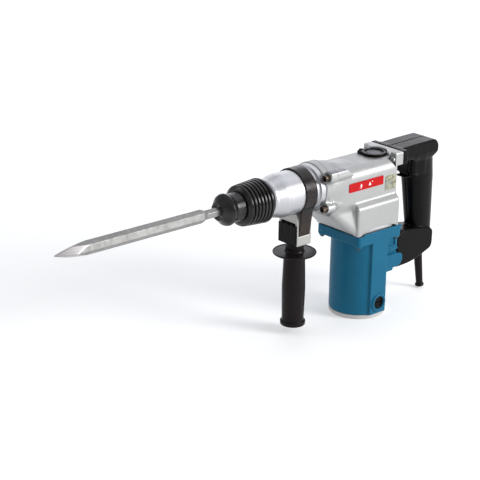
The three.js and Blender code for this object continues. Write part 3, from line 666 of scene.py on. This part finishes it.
def lower_swellings(g, joint):
    """The casting swells round each lower bolt and thins out to nothing behind it."""
    y, z = LOWER_BOLTS[1]
    section = np.hypot(np.abs(g.y) - y, g.z - z) - 6.6
    return section + 0.4 * np.clip(g.x - joint - 2, 0, 60)


def nose_field(g, joint, bottom):
    """A funnel from the round joint down to the straight front edge of the motor flange."""
    deep = bottom - 4
    side = convex(g.x, g.z, [
        (-40, deep), (-40, 0), (joint - 9, 0), (joint - 9, -20), (-97, -43), (-80, -60.5),
        (-48, deep),
    ], 4)
    front = convex(np.abs(g.y), g.z, [
        (-60, deep), (46.2, deep), (45.5, bottom + 4), (37, -38), (27, 10), (-60, 10),
    ], 5)
    return common(13, side, front)


def lower_box(g, bottom):
    y, top, deep = FLANGE_Y, LOWER_TOP, bottom - 10
    outline = [(-60, deep), (y, deep), (y, top - 9.5), (36.5, top), (-60, top)]
    section = convex(np.abs(g.y), g.z, outline, 2.6)
    return rounded(3.4, section, slab(g.x, LOWER_FRONT, BODY_REAR))


def bottom_arches(g, bottom):
    """Shallow arches in the bottom edge, on the sides and in front, whose back walls get the gasket's
    dark colour as painted shade.
    """
    x, y, z = g.x, np.abs(g.y), g.z
    side = (np.hypot((x + 3) / 39, (z - bottom + 1) / 8.5) - 1) * 8.5
    front = (np.hypot(y / 37, (z - bottom + 1) / 6.5) - 1) * 6.5
    return [common(1, side, ARCH_REACH["y"] - y), common(1, front, x - ARCH_REACH["front"])]


def gear_cavities(g, joint, bottom):
    """The rooms for the gears, the crank, the cylinder, the bearing and the bolts."""
    shaft_x = middle("crank_bearing_upper")[0]
    bearing_low, bearing_high = ends("crank_bearing_upper", 1)
    bearing_r = (bearing_high - bearing_low) / 2
    cylinder_rear, cylinder_r, _ = span("cylinder")[1]
    return [
        block(g, (-46, 32.7), 41.5, (bottom - 9, -41), 4),
        block(g, (-46, 32.7), 33, (bottom, -34), 3),
        rod(g, "z", 25, (shaft_x, 0), (bottom, -33)),
        block(g, (-62, 33), 29, (-22, 17)),
        rod(g, "x", cylinder_r + 0.6, (0, 0), (joint - 5, cylinder_rear + 0.3)),
        rod(g, "z", bearing_r + 0.3, (shaft_x, 0), (-36, -20)),
        rod(g, "z", CAP["skirt"] + 0.7, (CAP["x"], 0), (14, DECK_Z + 5)),
        rounded(0.5, bolt_distance(g) - BOLT_HOLE_R, slab(g.x, joint - 5, joint + 4)),
    ]


def bracket_field(g):
    """Two ears that the rear handle's plate is screwed to."""
    ears = block(g, (34, HANDLE_X - 0.3), 36, (11, 32), 1.8)
    neck = block(g, (20, HANDLE_X - 2), 24, (-4, DECK_Z), 2)
    return union(2.5, ears, neck)


def screw_notch(g):
    """A V-shaped notch in the shoulder in front of each ear, open upwards and outwards."""
    profile = convex(g.x, g.z, [(35.6, 11), (37.4, 11), (37.4, 44), (24, 44), (24.5, 29.5)], 1)
    return common(1, profile, 24.3 - np.abs(g.y))


CAP = {
    "x": 24.4, "r": 19.4, "skirt": 16,
    "lug_turn": math.radians(119), "notch_turns": (math.radians(77), math.radians(191)),
}


def gear_housing():
    lo, hi = span("gear_housing")
    joint, _, bottom = lo
    g = Grid(lo, hi, 0.72)
    pad = rounded(0.7, np.hypot(g.x - CAP["x"], g.y) - CAP["r"] - 3.2, slab(g.z, 5, DECK_Z - 0.7))
    solid = union(5, body_field(g, joint), nose_field(g, joint, bottom))
    solid = union(2.4, solid, lower_box(g, bottom))
    solid = union(5, solid, lower_swellings(g, joint))
    solid = union(2.4, solid, upper_boss(g), far_boss(g))
    solid = union(2, solid, pad)
    round_cap = np.hypot(g.x - CAP["x"], g.y) - CAP["r"] - 0.8
    above = rounded(0.8, round_cap, DECK_Z - 0.7 - g.z)
    solid = union(1.5, solid, carve(0.8, bracket_field(g), above))
    solid = common(0.5, solid, bottom - g.z, joint - g.x)
    solid = carve(1, solid, *bottom_arches(g, bottom), screw_notch(g))
    solid = carve(0.8, solid, *gear_cavities(g, joint, bottom))
    piece = skin("housing_casting", g, solid)
    dress(piece, "cast", "machine", "cast_aluminium", "gear_housing")
    mill_boss_top(piece)
    x, y, z = face_centres(piece)
    # The arch back walls take the dark gasket colour: partly the real gasket, partly painted shade in the
    # recesses.
    beside = (np.abs(np.abs(y) - ARCH_REACH["y"]) < 1.5) & (x > -42) & (x < 36)
    ahead = (np.abs(x - ARCH_REACH["front"]) < 1.5) & (np.abs(y) < 37)
    second_look(piece, "paper", (beside | ahead) & (z < bottom + 8))


def grease_cap():
    """A deep black ring with a finger lug, round a recessed grey disc with two index notches."""
    x, r, skirt = CAP["x"], CAP["r"], CAP["skirt"]
    foot, seat = span("grease_cap")[0][2], DECK_Z + 0.3
    g = Grid((x - r - 7, -r - 7, foot), (x + r + 2, r + 8, seat + 5.6), 0.42)
    reach = np.hypot(g.x - x, g.y)
    collar = rounded(0.9, reach - r, slab(g.z, seat, seat + 4.5))
    stem = rounded(0.5, reach - skirt, slab(g.z, foot, seat + 3))
    u, v = turned_by(g.x - x, g.y, CAP["lug_turn"])
    wide = 6 + 0.56 * (r + 6.2 - u)
    lug = rounded(1.1, slab(u, 8, r + 6), np.abs(v) - wide, slab(g.z, seat, seat + 4.1))
    pair = np.abs(np.abs(v) - 4.6) - 1.3
    prongs = rounded(0.7, slab(u, r - 1, r + 5.6), pair, slab(g.z, seat, seat + 5.2))
    between = rounded(0.8, slab(u, r + 1, r + 9), np.abs(v) - 2.6, slab(g.z, seat + 2.2, seat + 9))
    recess = rounded(0.8, reach - r + 4.4, slab(g.z, seat + 2, seat + 12))
    solid = carve(0.8, union(0.8, union(1, collar, lug, prongs), stem), recess, between)
    for angle in CAP["notch_turns"]:
        along, across = turned_by(g.x - x, g.y, angle)
        one_side = np.abs(across) - 1.4 + 99 * (along < 0)
        notch = rounded(0.4, slab(reach, 12.2, 15.4), one_side, slab(g.z, seat + 1, seat + 4.2))
        solid = union(0.4, solid, notch)
    dress(skin("grease_cap_ring", g, solid, 0), "black", "grease_cap", "black_plastic", "grease_cap")
    disc = turned("grease_cap_disc", [
        (0, seat + 1), (14.6, seat + 1), (14.6, seat + 2.2, 0.2), (11.4, seat + 2.2, 0.4),
        (10.8, seat + 3.3, 0.5), (9.2, seat + 3.4, 0.3), (8.7, seat + 3, 0.3), (0, seat + 3),
    ], "z", (x, 0, 0))
    dress(disc, "disc", "grease_cap", "black_plastic")


def name_plate():
    xs, ys, zs = zip(*span("name_plate"))
    label = plate("name_plate_blank", rounded_rectangle(xs, zs, 1.8), ys, 0.15)
    dress(label, "label", "machine", "red_label", "name_plate")
    width, level = xs[1] - xs[0], sum(zs) / 2
    print_ys = (ys[0] - 0.06, ys[0] + 0.1)
    first, second = xs[0] + 0.35 * width, xs[0] + 0.6 * width
    shapes = [
        [(first - 2, 0), (first, -3.4), (first + 2, 0), (first, 3.4)],
        [(first - 3.4, -3.2), (first + 0.6, -4.4), (first + 0.6, -3.6), (first - 3.4, -2.4)],
        [(second - 3, -2.6), (second + 3, -2.6), (second, 2.8)],
        [(second + 4.4, 1.6), (second + 6, 1.6), (second + 6, 3.2), (second + 4.4, 3.2)],
    ]
    for i, shape in enumerate(shapes):
        outline = [(x, level + z) for x, z in shape]
        dress(plate(f"name_plate_mark_{i + 1}", outline, print_ys, 0.03), "mark", "machine", "red_label")
    ys = (-SIDE_Y - 0.45, -SIDE_Y - 0.1)
    sticker = plate("foil_sticker", rounded_rectangle((13, 36), (-22.5, 0.5), 1), ys, 0.1)
    dress(sticker, "sticker", "machine", "cast_aluminium")


def cap_screw(number):
    """A socket cap screw with a washer, in the barrel flange."""
    _, y, z = middle(f"barrel_bolt_{number}")
    front, _ = ends(f"barrel_bolt_{number}", 0)
    seat = front + 7.4
    g = Grid((front, y - 6.2, z - 6.2), (seat + 3, y + 6.2, z + 6.2), 0.28)
    head = rod(g, "x", 5, (y, z), (front, seat - 1.4), 0.7)
    washer = rod(g, "x", 6.1, (y, z), (seat - 1.5, seat), 0.4)
    flats = [turned_by(g.y - y, g.z - z, 0.3 + side * math.pi / 3)[0] for side in (-1, 0, 1)]
    socket = rounded(0.3, np.max(np.abs(flats), axis=0) - 2.5, slab(g.x, front - 3, front + 3.4))
    shank = rod(g, "x", 3, (y, z), (seat - 2, seat + 2.6), 0.3)
    piece = skin(f"barrel_screw_{number}", g, union(0.3, carve(0.4, head, socket), washer, shank), 0)
    dress(piece, "bolt", "machine", "blackened_steel", f"barrel_bolt_{number}")


def handle_screw(side):
    """A pan-head screw with a cross recess, in the notch in front of each ear."""
    _, y, z = middle(f"handle_screw_{side}")
    front, end = ends(f"handle_screw_{side}", 0)
    g = Grid((front, y - 4.5, z - 4.5), (end, y + 4.5, z + 4.5), 0.3)
    head = rod(g, "x", 4.3, (y, z), (front, front + 4), 1.4)
    shank = rod(g, "x", 2.4, (y, z), (front + 3, end), 0.5)
    u, v = np.abs(g.y - y), np.abs(g.z - z)
    cross = np.minimum(np.maximum(u - 0.6, v - 2.5), np.maximum(v - 0.6, u - 2.5))
    cross = common(0.3, cross, g.x - front - 1.8)
    piece = skin(f"handle_fixing_{side}", g, union(0.4, carve(0.3, head, cross), shank), 0)
    dress(piece, "steel", "machine", "blackened_steel", f"handle_screw_{side}")


# ---------------- motor


def motor_housing():
    lo, hi = span("motor_housing")
    bottom, top = lo[2] - 2, hi[2]
    g = Grid((lo[0], lo[1], bottom), (hi[0], hi[1], top + 3), 0.75)
    x, y, z = g.x, np.abs(g.y), g.z
    flange_front, flange_rear, flange_bottom = lo[0], 45.5, top - 16
    drum = rod(g, "z", 45, (0, 0), (bottom, flange_bottom + 4), 1.2)
    panel = block(g, (-17, 17), 46.4, (bottom, flange_bottom + 4), 0.5)
    outline = rounded(5, slab(x, flange_front, flange_rear), y - FLANGE_Y)
    flange = rounded(0.9, outline, slab(z, flange_bottom, top))
    lip = rounded(0.8, slab(x, -37, flange_rear), slab(y, 43.2, FLANGE_Y), slab(z, top - 5, top + 2.6))
    solid = union(0.9, union(1.6, drum, flange), panel, lip)
    screws_x, screws_y = (flange_front + 6, flange_rear - 6), FLANGE_Y - 6.5
    for screw_x in screws_x:
        ear = np.hypot(x - screw_x, y - screws_y) - 5.4
        solid = union(1.5, solid, rounded(0.8, ear, slab(z, flange_bottom - 3, flange_bottom + 4)))
    solid = union(2, solid, rear_extension(g, REAR_FACE, flange_bottom))
    from_brush = np.hypot(x, z - middle("brush_cap_left")[2])
    solid = union(1, solid, rounded(1.3, from_brush - 14.6, slab(y, 38, 49.5)))
    hole = rounded(0.6, from_brush - 10.4, slab(y, 30, 60))
    bore = rod(g, "z", 41, (0, 0), (bottom - 9, top + 9))
    piece = skin("motor_drum", g, carve(0.9, solid, bore, hole))
    dress(piece, "teal", "machine", "teal_plastic", "motor_housing")
    for i, (screw_x, side) in enumerate([(a, b) for a in screws_x for b in (-1, 1)]):
        centre = (screw_x, side * screws_y, flange_bottom)
        screw = turned(f"flange_screw_{i + 1}", [
            (0, -6.3), (1.6, -6.3, 0.4), (1.9, -5.6, 0.3), (3.5, -5.2, 0.9), (3.5, -2.8), (0, -2.8),
        ], "z", centre, 40)
        dress(screw, "bolt", "machine", "blackened_steel")


def rear_extension(g, rear, flange_bottom):
    """The socket behind the motor that carries the foot of the rear handle, with a rib on each side."""
    y = np.abs(g.y)
    upper = block(g, (36, rear), 21, (-166, flange_bottom + 2), 2)
    foot = block(g, (36, rear - 6), 20, (-172, -160), 2)
    cheek = convex(g.x, g.z, [
        (30, -166), (60, -166), (70, -164.5), (76, -158), (77, -150), (74, -144), (68, -142), (30, -142),
    ], 3)
    cheek = rounded(1, cheek, y - 24, 20.8 - y)
    rib = block(g, (30, rear - 1), 23.4, (-135, -131), 1.2)
    groove = rounded(1, slab(g.x, 30, rear + 9), 18.6 - y, slab(g.z, -140.5, -136))
    pocket = rounded(2, slab(g.x, 44, 60), 18 - y, slab(g.z, -128, -107))
    room = block(g, (42, rear + 6), 16.4, (-166, flange_bottom - 5))
    return carve(0.8, union(1.5, upper, foot, rib, cheek), room, groove, pocket)


def motor_end_cap():
    bottom, _ = ends("motor_end_cap", 2)
    g = Grid(*span("motor_end_cap"), 0.6)
    reach = np.hypot(g.x, g.y)
    rim_top = bottom + 7
    cup = rounded(2.2, reach - 44.7, slab(g.z, bottom, rim_top + 6))
    solid = common(0.5, cup, g.z - rim_top)
    solid = carve(0.8, solid, rounded(1, reach - 40, slab(g.z, bottom + 3, rim_top + 9)))
    socket = rounded(0.5, reach - 16, slab(g.z, bottom, bottom + 12))
    bore = rounded(0.5, reach - 13.3, slab(g.z, bottom + 3, bottom + 20))
    solid = union(1, solid, carve(0.5, socket, bore))
    slots = 16
    turns = np.arctan2(g.y, g.x) * slots / (2 * math.pi)
    across = reach * np.sin(((turns + 0.5) % 1 - 0.5) * 2 * math.pi / slots)
    vents = rounded(0.6, np.abs(across) - 1.6, slab(reach, 20, 35), slab(g.z, bottom - 5, bottom + 6))
    piece = skin("end_cap", g, carve(0.6, solid, vents), 0)
    dress(piece, "pale", "machine", "pale_plastic", "motor_end_cap")


def brush_cap(side):
    """A slotted screw cap at the bottom of the ring."""
    lo, hi = span(f"brush_cap_{side}")
    x, _, z = middle(f"brush_cap_{side}")
    g = Grid(lo, hi, 0.4)
    y = np.abs(g.y)
    inner, outer = sorted((abs(lo[1]), abs(hi[1])))
    reach = np.hypot(g.x - x, g.z - z)
    solid = rounded(1.1, reach - 10, slab(y, inner, outer))
    dish = rounded(0.8, reach - 7.4, slab(y, outer - 1.5, outer + 4))
    slot = rounded(0.3, np.abs(g.x - x) - 7.6, np.abs(g.z - z) - 0.9, slab(y, outer - 3.6, outer + 4))
    piece = skin(f"brush_cover_{side}", g, carve(0.5, solid, dish, slot), 0)
    dress(piece, "black", "machine", "black_plastic", f"brush_cap_{side}")


# ---------------- barrel, chuck and chisel


def ear(g, place, r):
    """The outline of a lug round a bolt, that runs in towards the hammer line."""
    y, z = g.y - place[0], g.z - place[1]
    reach = math.hypot(*place)
    u, v = place[0] / reach, place[1] / reach
    inward = np.clip(-y * u - z * v, 0, 12)
    return np.hypot(y + inward * u, z + inward * v) - r


def barrel():
    lo, hi = span("barrel")
    front, joint = lo[0], hi[0]
    shoulder = joint - 12
    r, collar, bore_r, throat = 33.6, 36.6, 27, -180.3
    tube = turned("barrel_tube", [
        (24, front, 0.6), (27.2, front, 0.8), (28.5, front + 3, 1.2), (29, front + 7, 3),
        (32.6, front + 22, 8), (r, front + 28.5, 12), (r, shoulder - 9.8, 0.5),
        (r + 0.9, shoulder - 9.2, 0.4), (collar, shoulder - 8.4, 0.7), (collar, shoulder + 1.3),
        (bore_r, shoulder + 1.3), (bore_r, throat), (24, throat),
    ], sides=160)
    dress(tube, "machined", "machine", "machined_aluminium", "barrel")
    g = Grid((shoulder, lo[1], -FLANGE_R), (joint, hi[1], FLANGE_R), 0.6)
    y, z = np.abs(g.y), np.abs(g.z)
    ring = rounded(0.9, np.hypot(y, z) - FLANGE_R, shoulder + 1 - g.x)
    ears = [ear(g, bolt, r) for bolt, r in zip(BOLTS, (8.8, 8.3, 7.6, 7.6))]
    lugs = rounded(1, np.min(ears, axis=0), shoulder - g.x)
    boss = boss_outline(g, (30, 16), (BOSS["side"], 20), (34, BOSS["top"]))
    flat = rounded(0.8, boss, shoulder - g.x)
    web = rounded(1.5, y - SIDE_Y, np.abs(z) - 24, shoulder + 2 + 0.2 * (13 - g.z) - g.x)
    solid = union(3, union(5, ring, lugs), flat, web)
    solid = common(0.4, solid, g.x - joint)
    bore = rod(g, "x", bore_r, (0, 0), (shoulder - 9, joint + 9))
    holes = rounded(0.3, bolt_distance(g) - BOLT_HOLE_R, slab(g.x, shoulder - 9, joint + 9))
    flange = skin("barrel_flange", g, carve(0.6, solid, bore, holes))
    dress(flange, "cast", "machine", "cast_aluminium")
    mill_boss_top(flange)


def release_sleeve():
    front, rear = ends("release_sleeve", 0)
    profile = [
        (16, front), (25.6, front, 2.6), (30.6, front + 3.2, 2.6), (31.2, front + 6.6, 1.3),
        (28.6, front + 7.8, 0.7),
    ]
    ribs = 6
    start = front + 8.4
    pitch = (rear - start) / ribs
    for i in range(ribs):
        crest = 31.6 + 2.2 * i / (ribs - 1)
        x = start + i * pitch
        profile += [(crest - 3.4, x + 0.7, 0.7), (crest, x + 1.5, 1.2), (crest, x + pitch - 1.0, 1.2)]
        profile += [(crest - 3.2, x + pitch - 0.1, 0.6)] if i < ribs - 1 else [(30.6, rear, 0.6)]
    profile += [(29.3, rear, 0.4), (29.3, rear - 10), (26.9, rear - 12)]
    profile += [(26.9, front + 3), (16, front + 3)]
    sleeve = turned("ribbed_sleeve", profile, sides=160)
    dress(sleeve, "rubber", "sleeve", "rubber", "release_sleeve")


def nose_cap():
    front, rear = ends("nose_cap", 0)
    cap = turned("nose_cone", [
        (9.6, front, 0.8), (13.6, front, 1.6), (15, front + 2.6, 1.5), (22.8, front + 10.6, 3.5),
        (24.2, front + 14.6, 2.2), (23.2, front + 18.4, 1.6), (21.6, front + 22, 4), (21.7, rear - 6, 10),
        (22.5, rear, 0.6), (11.9, rear), (11.9, front + 11.3), (14.9, front + 11.3), (14.9, front + 4.6),
        (9.6, front + 4.6),
    ], sides=144)
    dress(cap, "rubber", "machine", "rubber", "nose_cap")


def hexagonal(y, z, across, turn, k):
    """A hexagonal bar about X, this wide across its flats, with a corner turned to this angle."""
    field = None
    for i in range(3):
        side = np.abs(turned_by(y, z, turn + math.pi / 6 + i * math.pi / 3)[0]) - across / 2
        field = side if field is None else smooth_max(field, side, k)
    return field


CHISEL = {
    "across": 18, "turn": math.radians(17),     # the hexagonal bar
    "point": 76, "point_r": 10.4, "point_turn": math.radians(150),
}


def point_faces(x, y, z):
    """How far y and z lie from the middle of the four-sided point, and how far its faces do."""
    from_tip = x - span("chisel")[0][0]
    t = np.clip(from_tip / CHISEL["point"], 0, 1)
    face = 0.7 + CHISEL["point_r"] * (1 - (1 - t) ** 1.8) + np.maximum(from_tip - CHISEL["point"], 0)
    u, v = turned_by(y, z, CHISEL["point_turn"])
    return np.abs(u), np.abs(v), face


def chisel():
    """A hexagonal bar with a turned-down neck, drawn to a four-sided ground point."""
    lo, hi = span("chisel")
    tip, shoulder = lo[0], -320
    g = Grid(lo, hi, 0.55)
    taper = np.clip((g.x - shoulder + 6) / 6, 0, 1)
    bar = hexagonal(g.y, g.z, CHISEL["across"] - 3.4 * taper, CHISEL["turn"], 0.9)
    bar = common(1, bar, g.x - shoulder)
    u, v, face = point_faces(g.x, g.y, g.z)
    point = smooth_max(u, v, 1.0) - face
    groove = rounded(0.8, 6.3 - np.hypot(g.y, g.z), slab(g.x, shoulder + 0.2, shoulder + 2.2))
    shank = common(0.8, hexagonal(g.y, g.z, 13, math.pi / 6, 0.7), slab(g.x, shoulder - 2, hi[0]))
    notch = block(g, (-254.2, -233.8), 9, (4, 9), 0.6)
    solid = union(0.8, common(0.5, bar, point, tip - g.x), carve(0.5, shank, notch, groove))
    piece = skin("pointed_chisel", g, solid, 0)
    dress(piece, "forged", "chisel", "forged_steel", "chisel")
    x, y, z = face_centres(piece)
    u, v, face = point_faces(x, y, z)
    on_point = (np.maximum(u, v) - face > -0.12) & (x < tip + CHISEL["point"])
    on_bar = hexagonal(y, z, CHISEL["across"], CHISEL["turn"], 0.9) > -0.1
    second_look(piece, "ground", on_point & ~on_bar)


# ---------------- side handle

SIDE_X = middle("clamp_band")[0]


def clamp_band():
    """A strap round the barrel whose two ends hang down beside the saddle."""
    lo, hi = span("clamp_band")
    g = Grid(lo, hi, 0.5)
    y, z = np.abs(g.y), g.z
    r = hi[1] - 1
    leave = math.radians(-42)
    knee = (r * math.cos(leave), r * math.sin(leave))
    foot = (19.4, lo[2])
    from_knee = np.hypot(y - knee[0], z - knee[1])
    arc = np.where(np.arctan2(z, y) > leave, np.abs(np.hypot(y, z) - r), from_knee)
    leg = (foot[0] - knee[0], foot[1] - knee[1])
    t = np.clip(((y - knee[0]) * leg[0] + (z - knee[1]) * leg[1]) / (leg[0] ** 2 + leg[1] ** 2), 0, 1)
    straight = np.hypot(y - knee[0] - t * leg[0], z - knee[1] - t * leg[1])
    strap = -smooth_max(-arc, -straight, 3) - 1.05
    piece = skin("clamp_strap", g, common(0.5, strap, slab(g.x, lo[0], hi[0]), lo[2] - z), 0)
    dress(piece, "blackened", "side_handle", "blackened_steel", "clamp_band")


def clamp_saddle():
    """A cast U that the strap's ends and the black block sit in."""
    lo, hi = span("clamp_saddle")
    g = Grid(lo, hi, 0.5)
    y, bottom, top = np.abs(g.y), lo[2], hi[2]
    section = [(-30, bottom), (hi[1], bottom), (hi[1], -40), (15, top), (-30, top)]
    solid = rounded(1.2, convex(y, g.z, section, 1.6), slab(g.x, lo[0], hi[0]))
    channel = convex(y, g.z, [(17.9, -66.4), (30, -66.4), (36, -18), (23.6, -18)], 1)
    channel = rounded(1, channel, np.abs(g.x - SIDE_X) - 11.5)
    room = block(g, (SIDE_X - 25, SIDE_X + 25), 15.3, (-95, -46.4))
    barrel_room = rod(g, "x", 34.15, (0, 0), (SIDE_X - 40, SIDE_X + 40))
    stud = rod(g, "z", 4.3, (SIDE_X, 0), (-60, -20))
    piece = skin("clamp_casting", g, carve(0.6, solid, channel, room, barrel_room, stud))
    dress(piece, "saddle", "side_handle", "cast_aluminium", "clamp_saddle")


def clamp_block():
    lo, hi = span("clamp_block")
    g = Grid((lo[0] - 3.4, lo[1] - 5.5, lo[2] - 7), (hi[0], hi[1] + 5.5, hi[2]), 0.5)
    x = g.x - SIDE_X
    half = (hi[0] - lo[0]) / 2
    outline = convex(x, g.z, [
        (-11, lo[2]), (11, lo[2]), (half, lo[2] + 6), (half, hi[2] - 3.2), (11, hi[2]), (-11, hi[2]),
        (-half, hi[2] - 3.2), (-half, lo[2] + 6),
    ], 1.2)
    solid = rounded(1.1, outline, slab(g.y, lo[1], hi[1]))
    crest = hi[2] - 1.6 + 1.1 * np.cos(g.y * math.pi / 5.5)
    cheek = rounded(1.2, slab(x, -17.8, -14.9), slab(g.y, -20.4, 18.6), slab(g.z, lo[2] - 7, crest))
    neck = rounded(1, slab(x, -16.5, 0), np.abs(g.y) - 14, slab(g.z, lo[2] + 4, hi[2] - 6))
    grooves = rounded(0.5, np.abs(np.abs(g.y) - 7) - 1, x + 17.3, slab(g.z, lo[2] + 7, hi[2] - 5))
    stud = rod(g, "z", 4.3, (SIDE_X, 0), (lo[2] - 9, hi[2] + 9))
    solid = union(0.8, solid, cheek, neck)
    piece = skin("clamp_nut_block", g, carve(0.5, solid, grooves, stud))
    dress(piece, "black", "side_handle", "black_plastic", "clamp_block")


def side_grip():
    end, top = ends("side_grip", 2)
    disc = top - 22
    grip = turned("round_side_grip", [
        (0, end), (15.5, end, 2), (19.4, end + 1.6, 1.6), (19.6, end + 7.4, 1.6), (17.2, end + 9.6, 1.2),
        (17.1, end + 14, 8), (18.1, end + 62, 90), (16.6, disc - 12, 20), (16.8, disc - 6, 3),
        (24, disc - 4, 6), (32.6, disc - 3.2, 0.6), (33.6, disc - 1.8, 0.9), (33.4, disc, 0.5),
        (31.6, disc, 0.4), (31, disc - 0.6, 0.4), (15.4, disc - 0.2, 1.2), (14, disc + 3, 4),
        (13.8, top, 0.6), (4.4, top), (4.4, top - 106.5), (0, top - 106.5),
    ], "z", (SIDE_X, 0, 0), 144)
    dress(grip, "grip", "side_grip", "black_plastic", "side_grip")


# ---------------- rear handle

_, HANDLE_TOP = ends("handle_left", 2)
BASE_X = REAR_FACE + 0.3     # front of the handle's base


def grip_centre(z):
    return 127.3 - 0.084 * (np.maximum(z, -112) + 40)


def handle_field(g):
    x, y, z = g.x, np.abs(g.y), g.z
    side = convex(x, z, [
        (HANDLE_X, 9), (100, 6), (139, 4), (146.5, 10), (148.5, 18), (147, 27),
        (140, HANDLE_TOP), (84, HANDLE_TOP), (HANDLE_X, 32),
    ], 2.6)
    side = common(1, side, HANDLE_X - x)
    arm = rounded(2.4, side, y - 24.6 + 0.36 * np.clip(13.5 - z, 0, 12))
    mounting = block(g, (HANDLE_X, HANDLE_X + 9.6), 36, (11, 32.3), 1.3)
    housing = block(g, (94, 124), 20.4, (-22.5, 20), 7)
    size = 1.105 + 0.0022 * (np.clip(z, -112, -31) + 31)
    a, b, power = 24.2 * size, 19.3 * size, 2.4
    u, v = np.abs(x - grip_centre(z)) / a, y / b
    grip = ((u ** power + v ** power) ** (1 / power) - 1) * b
    grip = rounded(1, grip, slab(z, -150, 12))
    base = convex(x, z, [
        (BASE_X, -168.5), (98, -167.5), (126, -160.5), (146, -152.5), (149.5, -147),
        (150, -124), (146, -119), (112, -111), (92, -108.5), (82, -108), (BASE_X, -115),
    ], 2.4)
    base = rounded(2, common(0.8, base, BASE_X - x), y - 20.5)
    lip = block(g, (88, 112), 10.5, (-25.6, -22.7), 0.9)
    solid = union(8, union(2, arm, mounting), housing)
    return union(1.5, union(3, union(5, solid, grip), base), lip)


def handle_cavities(g):
    y, z = np.abs(g.y), g.z
    switch = block(g, (80, 139), 9.6, (-22.4, 4.4))
    inside = block(g, (62, 144), 16, (12, 27), 2)
    foot = block(g, (BASE_X + 4, 142), 16, (-152, -120), 2)
    u, v = np.abs(g.x - grip_centre(z)) / 20, y / 15.5
    tunnel = rounded(1, (np.hypot(u, v) - 1) * 15.5, slab(z, -140, 20))
    screw = rounded(0.3, np.hypot(y - 30.5, z - 21.5) - 2.9, slab(g.x, HANDLE_X - 5, 63))
    return [switch, inside, foot, tunnel, screw]


GUARD_TOP = (136.3, 0, -148)
GUARD_TILT = math.radians(-8)


def guard_hole(g):
    x, z = g.x - GUARD_TOP[0], g.z - GUARD_TOP[2]
    across = turned_by(x, z, -GUARD_TILT)[0]
    return rounded(0.5, np.hypot(across, g.y) - 8.3, slab(z, -45, 4))


def handle_half(side):
    """One moulding of the rear handle. The two meet at a fine parting line."""
    sign = {"left": -1, "right": 1}[side]
    g = Grid(*span(f"handle_{side}"), 0.75)
    solid = carve(0.8, handle_field(g), *handle_cavities(g), guard_hole(g))
    if side == "right":
        x, _, z = middle("lock_button")
        solid = carve(0.6, solid, rod(g, "y", 5.4, (x, z), (8, 40)))
    solid = common(0.9, solid, 0.2 - sign * g.y)
    dress(skin(f"handle_shell_{side}", g, solid), "black", "machine", "black_plastic", f"handle_{side}")


def cord_guard():
    """A tapered rubber sleeve with a flared end; the cord itself isn't part of the model."""
    length = 78
    guard = turned("cord_sleeve", [
        (2.9, 0), (8.1, 0, 0.5), (8.1, -10, 3), (6.9, -22, 12), (5.7, 5 - length, 3),
        (7.3, 3 - length, 0.8), (7.3, -length, 0.7), (2.9, -length, 0.5),
    ], "z", sides=96)
    place = Matrix.Translation(Vector((GUARD_TOP[0], 0, GUARD_TOP[2] + LINE_Z)) * MM)
    lift = Matrix.Translation(Vector((0, 0, -LINE_Z * MM)))
    guard.data.transform(place @ Matrix.Rotation(GUARD_TILT, 4, "Y") @ lift)
    dress(guard, "grip", "machine", "rubber", "cord_guard")


def trigger():
    """A finger-shaped trigger that fills the slot of the switch housing."""
    lo, hi = span("trigger")
    g = Grid(lo, hi, 0.45)
    dent = 0.9
    front = lo[0] + dent - dent * np.cos((g.z - lo[2]) / (hi[2] - lo[2]) * 2 * math.pi)
    profile = common(0.5, front - g.x, g.x - hi[0])
    solid = rounded(1.4, profile, np.abs(g.y) - hi[1], slab(g.z, lo[2], hi[2]))
    dress(skin("finger_trigger", g, solid), "black", "trigger", "black_plastic", "trigger")


def lock_button():
    x, _, z = middle("lock_button")
    inner, outer = ends("lock_button", 1)
    button = turned("round_lock_button", [
        (0, inner + 0.6), (5, inner + 0.6, 0.4), (5, outer - 1, 0.3), (4.6, outer - 0.2, 0.6),
        (3, outer - 0.5, 0.5), (0, outer - 0.9),
    ], "y", (x, 0, z), 48)
    dress(button, "grip", "lock_button", "black_plastic", "lock_button")


# ---------------- what stays from the CAD

INSIDE = {
    "copper": ["field_coil_front", "field_coil_rear", "commutator"],
    "brass": ["brush_holder_left", "brush_holder_right"],
    "carbon": ["brush_left", "brush_right"],
    "black": ["cooling_fan", "switch_body"],
    "cast": ["bearing_plate", "connecting_rod", "piston"],
    "rubber": ["piston_ring"],
    "paper": ["housing_gasket"],
    "steel": [
        "stator_core", "armature_bearing_lower", "armature_bearing_upper", "armature_shaft",
        "armature_core", "brush_spring_left", "brush_spring_right", "crank_bearing_lower",
        "crank_bearing_upper", "crankshaft", "crank_gear", "wrist_pin", "cylinder", "striker",
        "impact_bolt", "tool_holder", "retaining_ball", "lock_ring", "sleeve_spring", "clamp_stud",
    ],
}


def dress_inside():
    for look, names in INSIDE.items():
        for name in names:
            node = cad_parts[name]
            node.data.materials.clear()
            node.data.materials.append(looks[look].material)


# ---------------- the whole hammer

make_camera()
make_studio()
looks = make_looks()
make_floor()
gear_housing()
grease_cap()
name_plate()
for bolt in (1, 2, 3, 4):
    cap_screw(bolt)
motor_housing()
motor_end_cap()
for hand in ("left", "right"):
    handle_screw(hand)
    brush_cap(hand)
    handle_half(hand)
barrel()
release_sleeve()
nose_cap()
chisel()
clamp_band()
clamp_saddle()
clamp_block()
side_grip()
cord_guard()
trigger()
lock_button()
dress_inside()
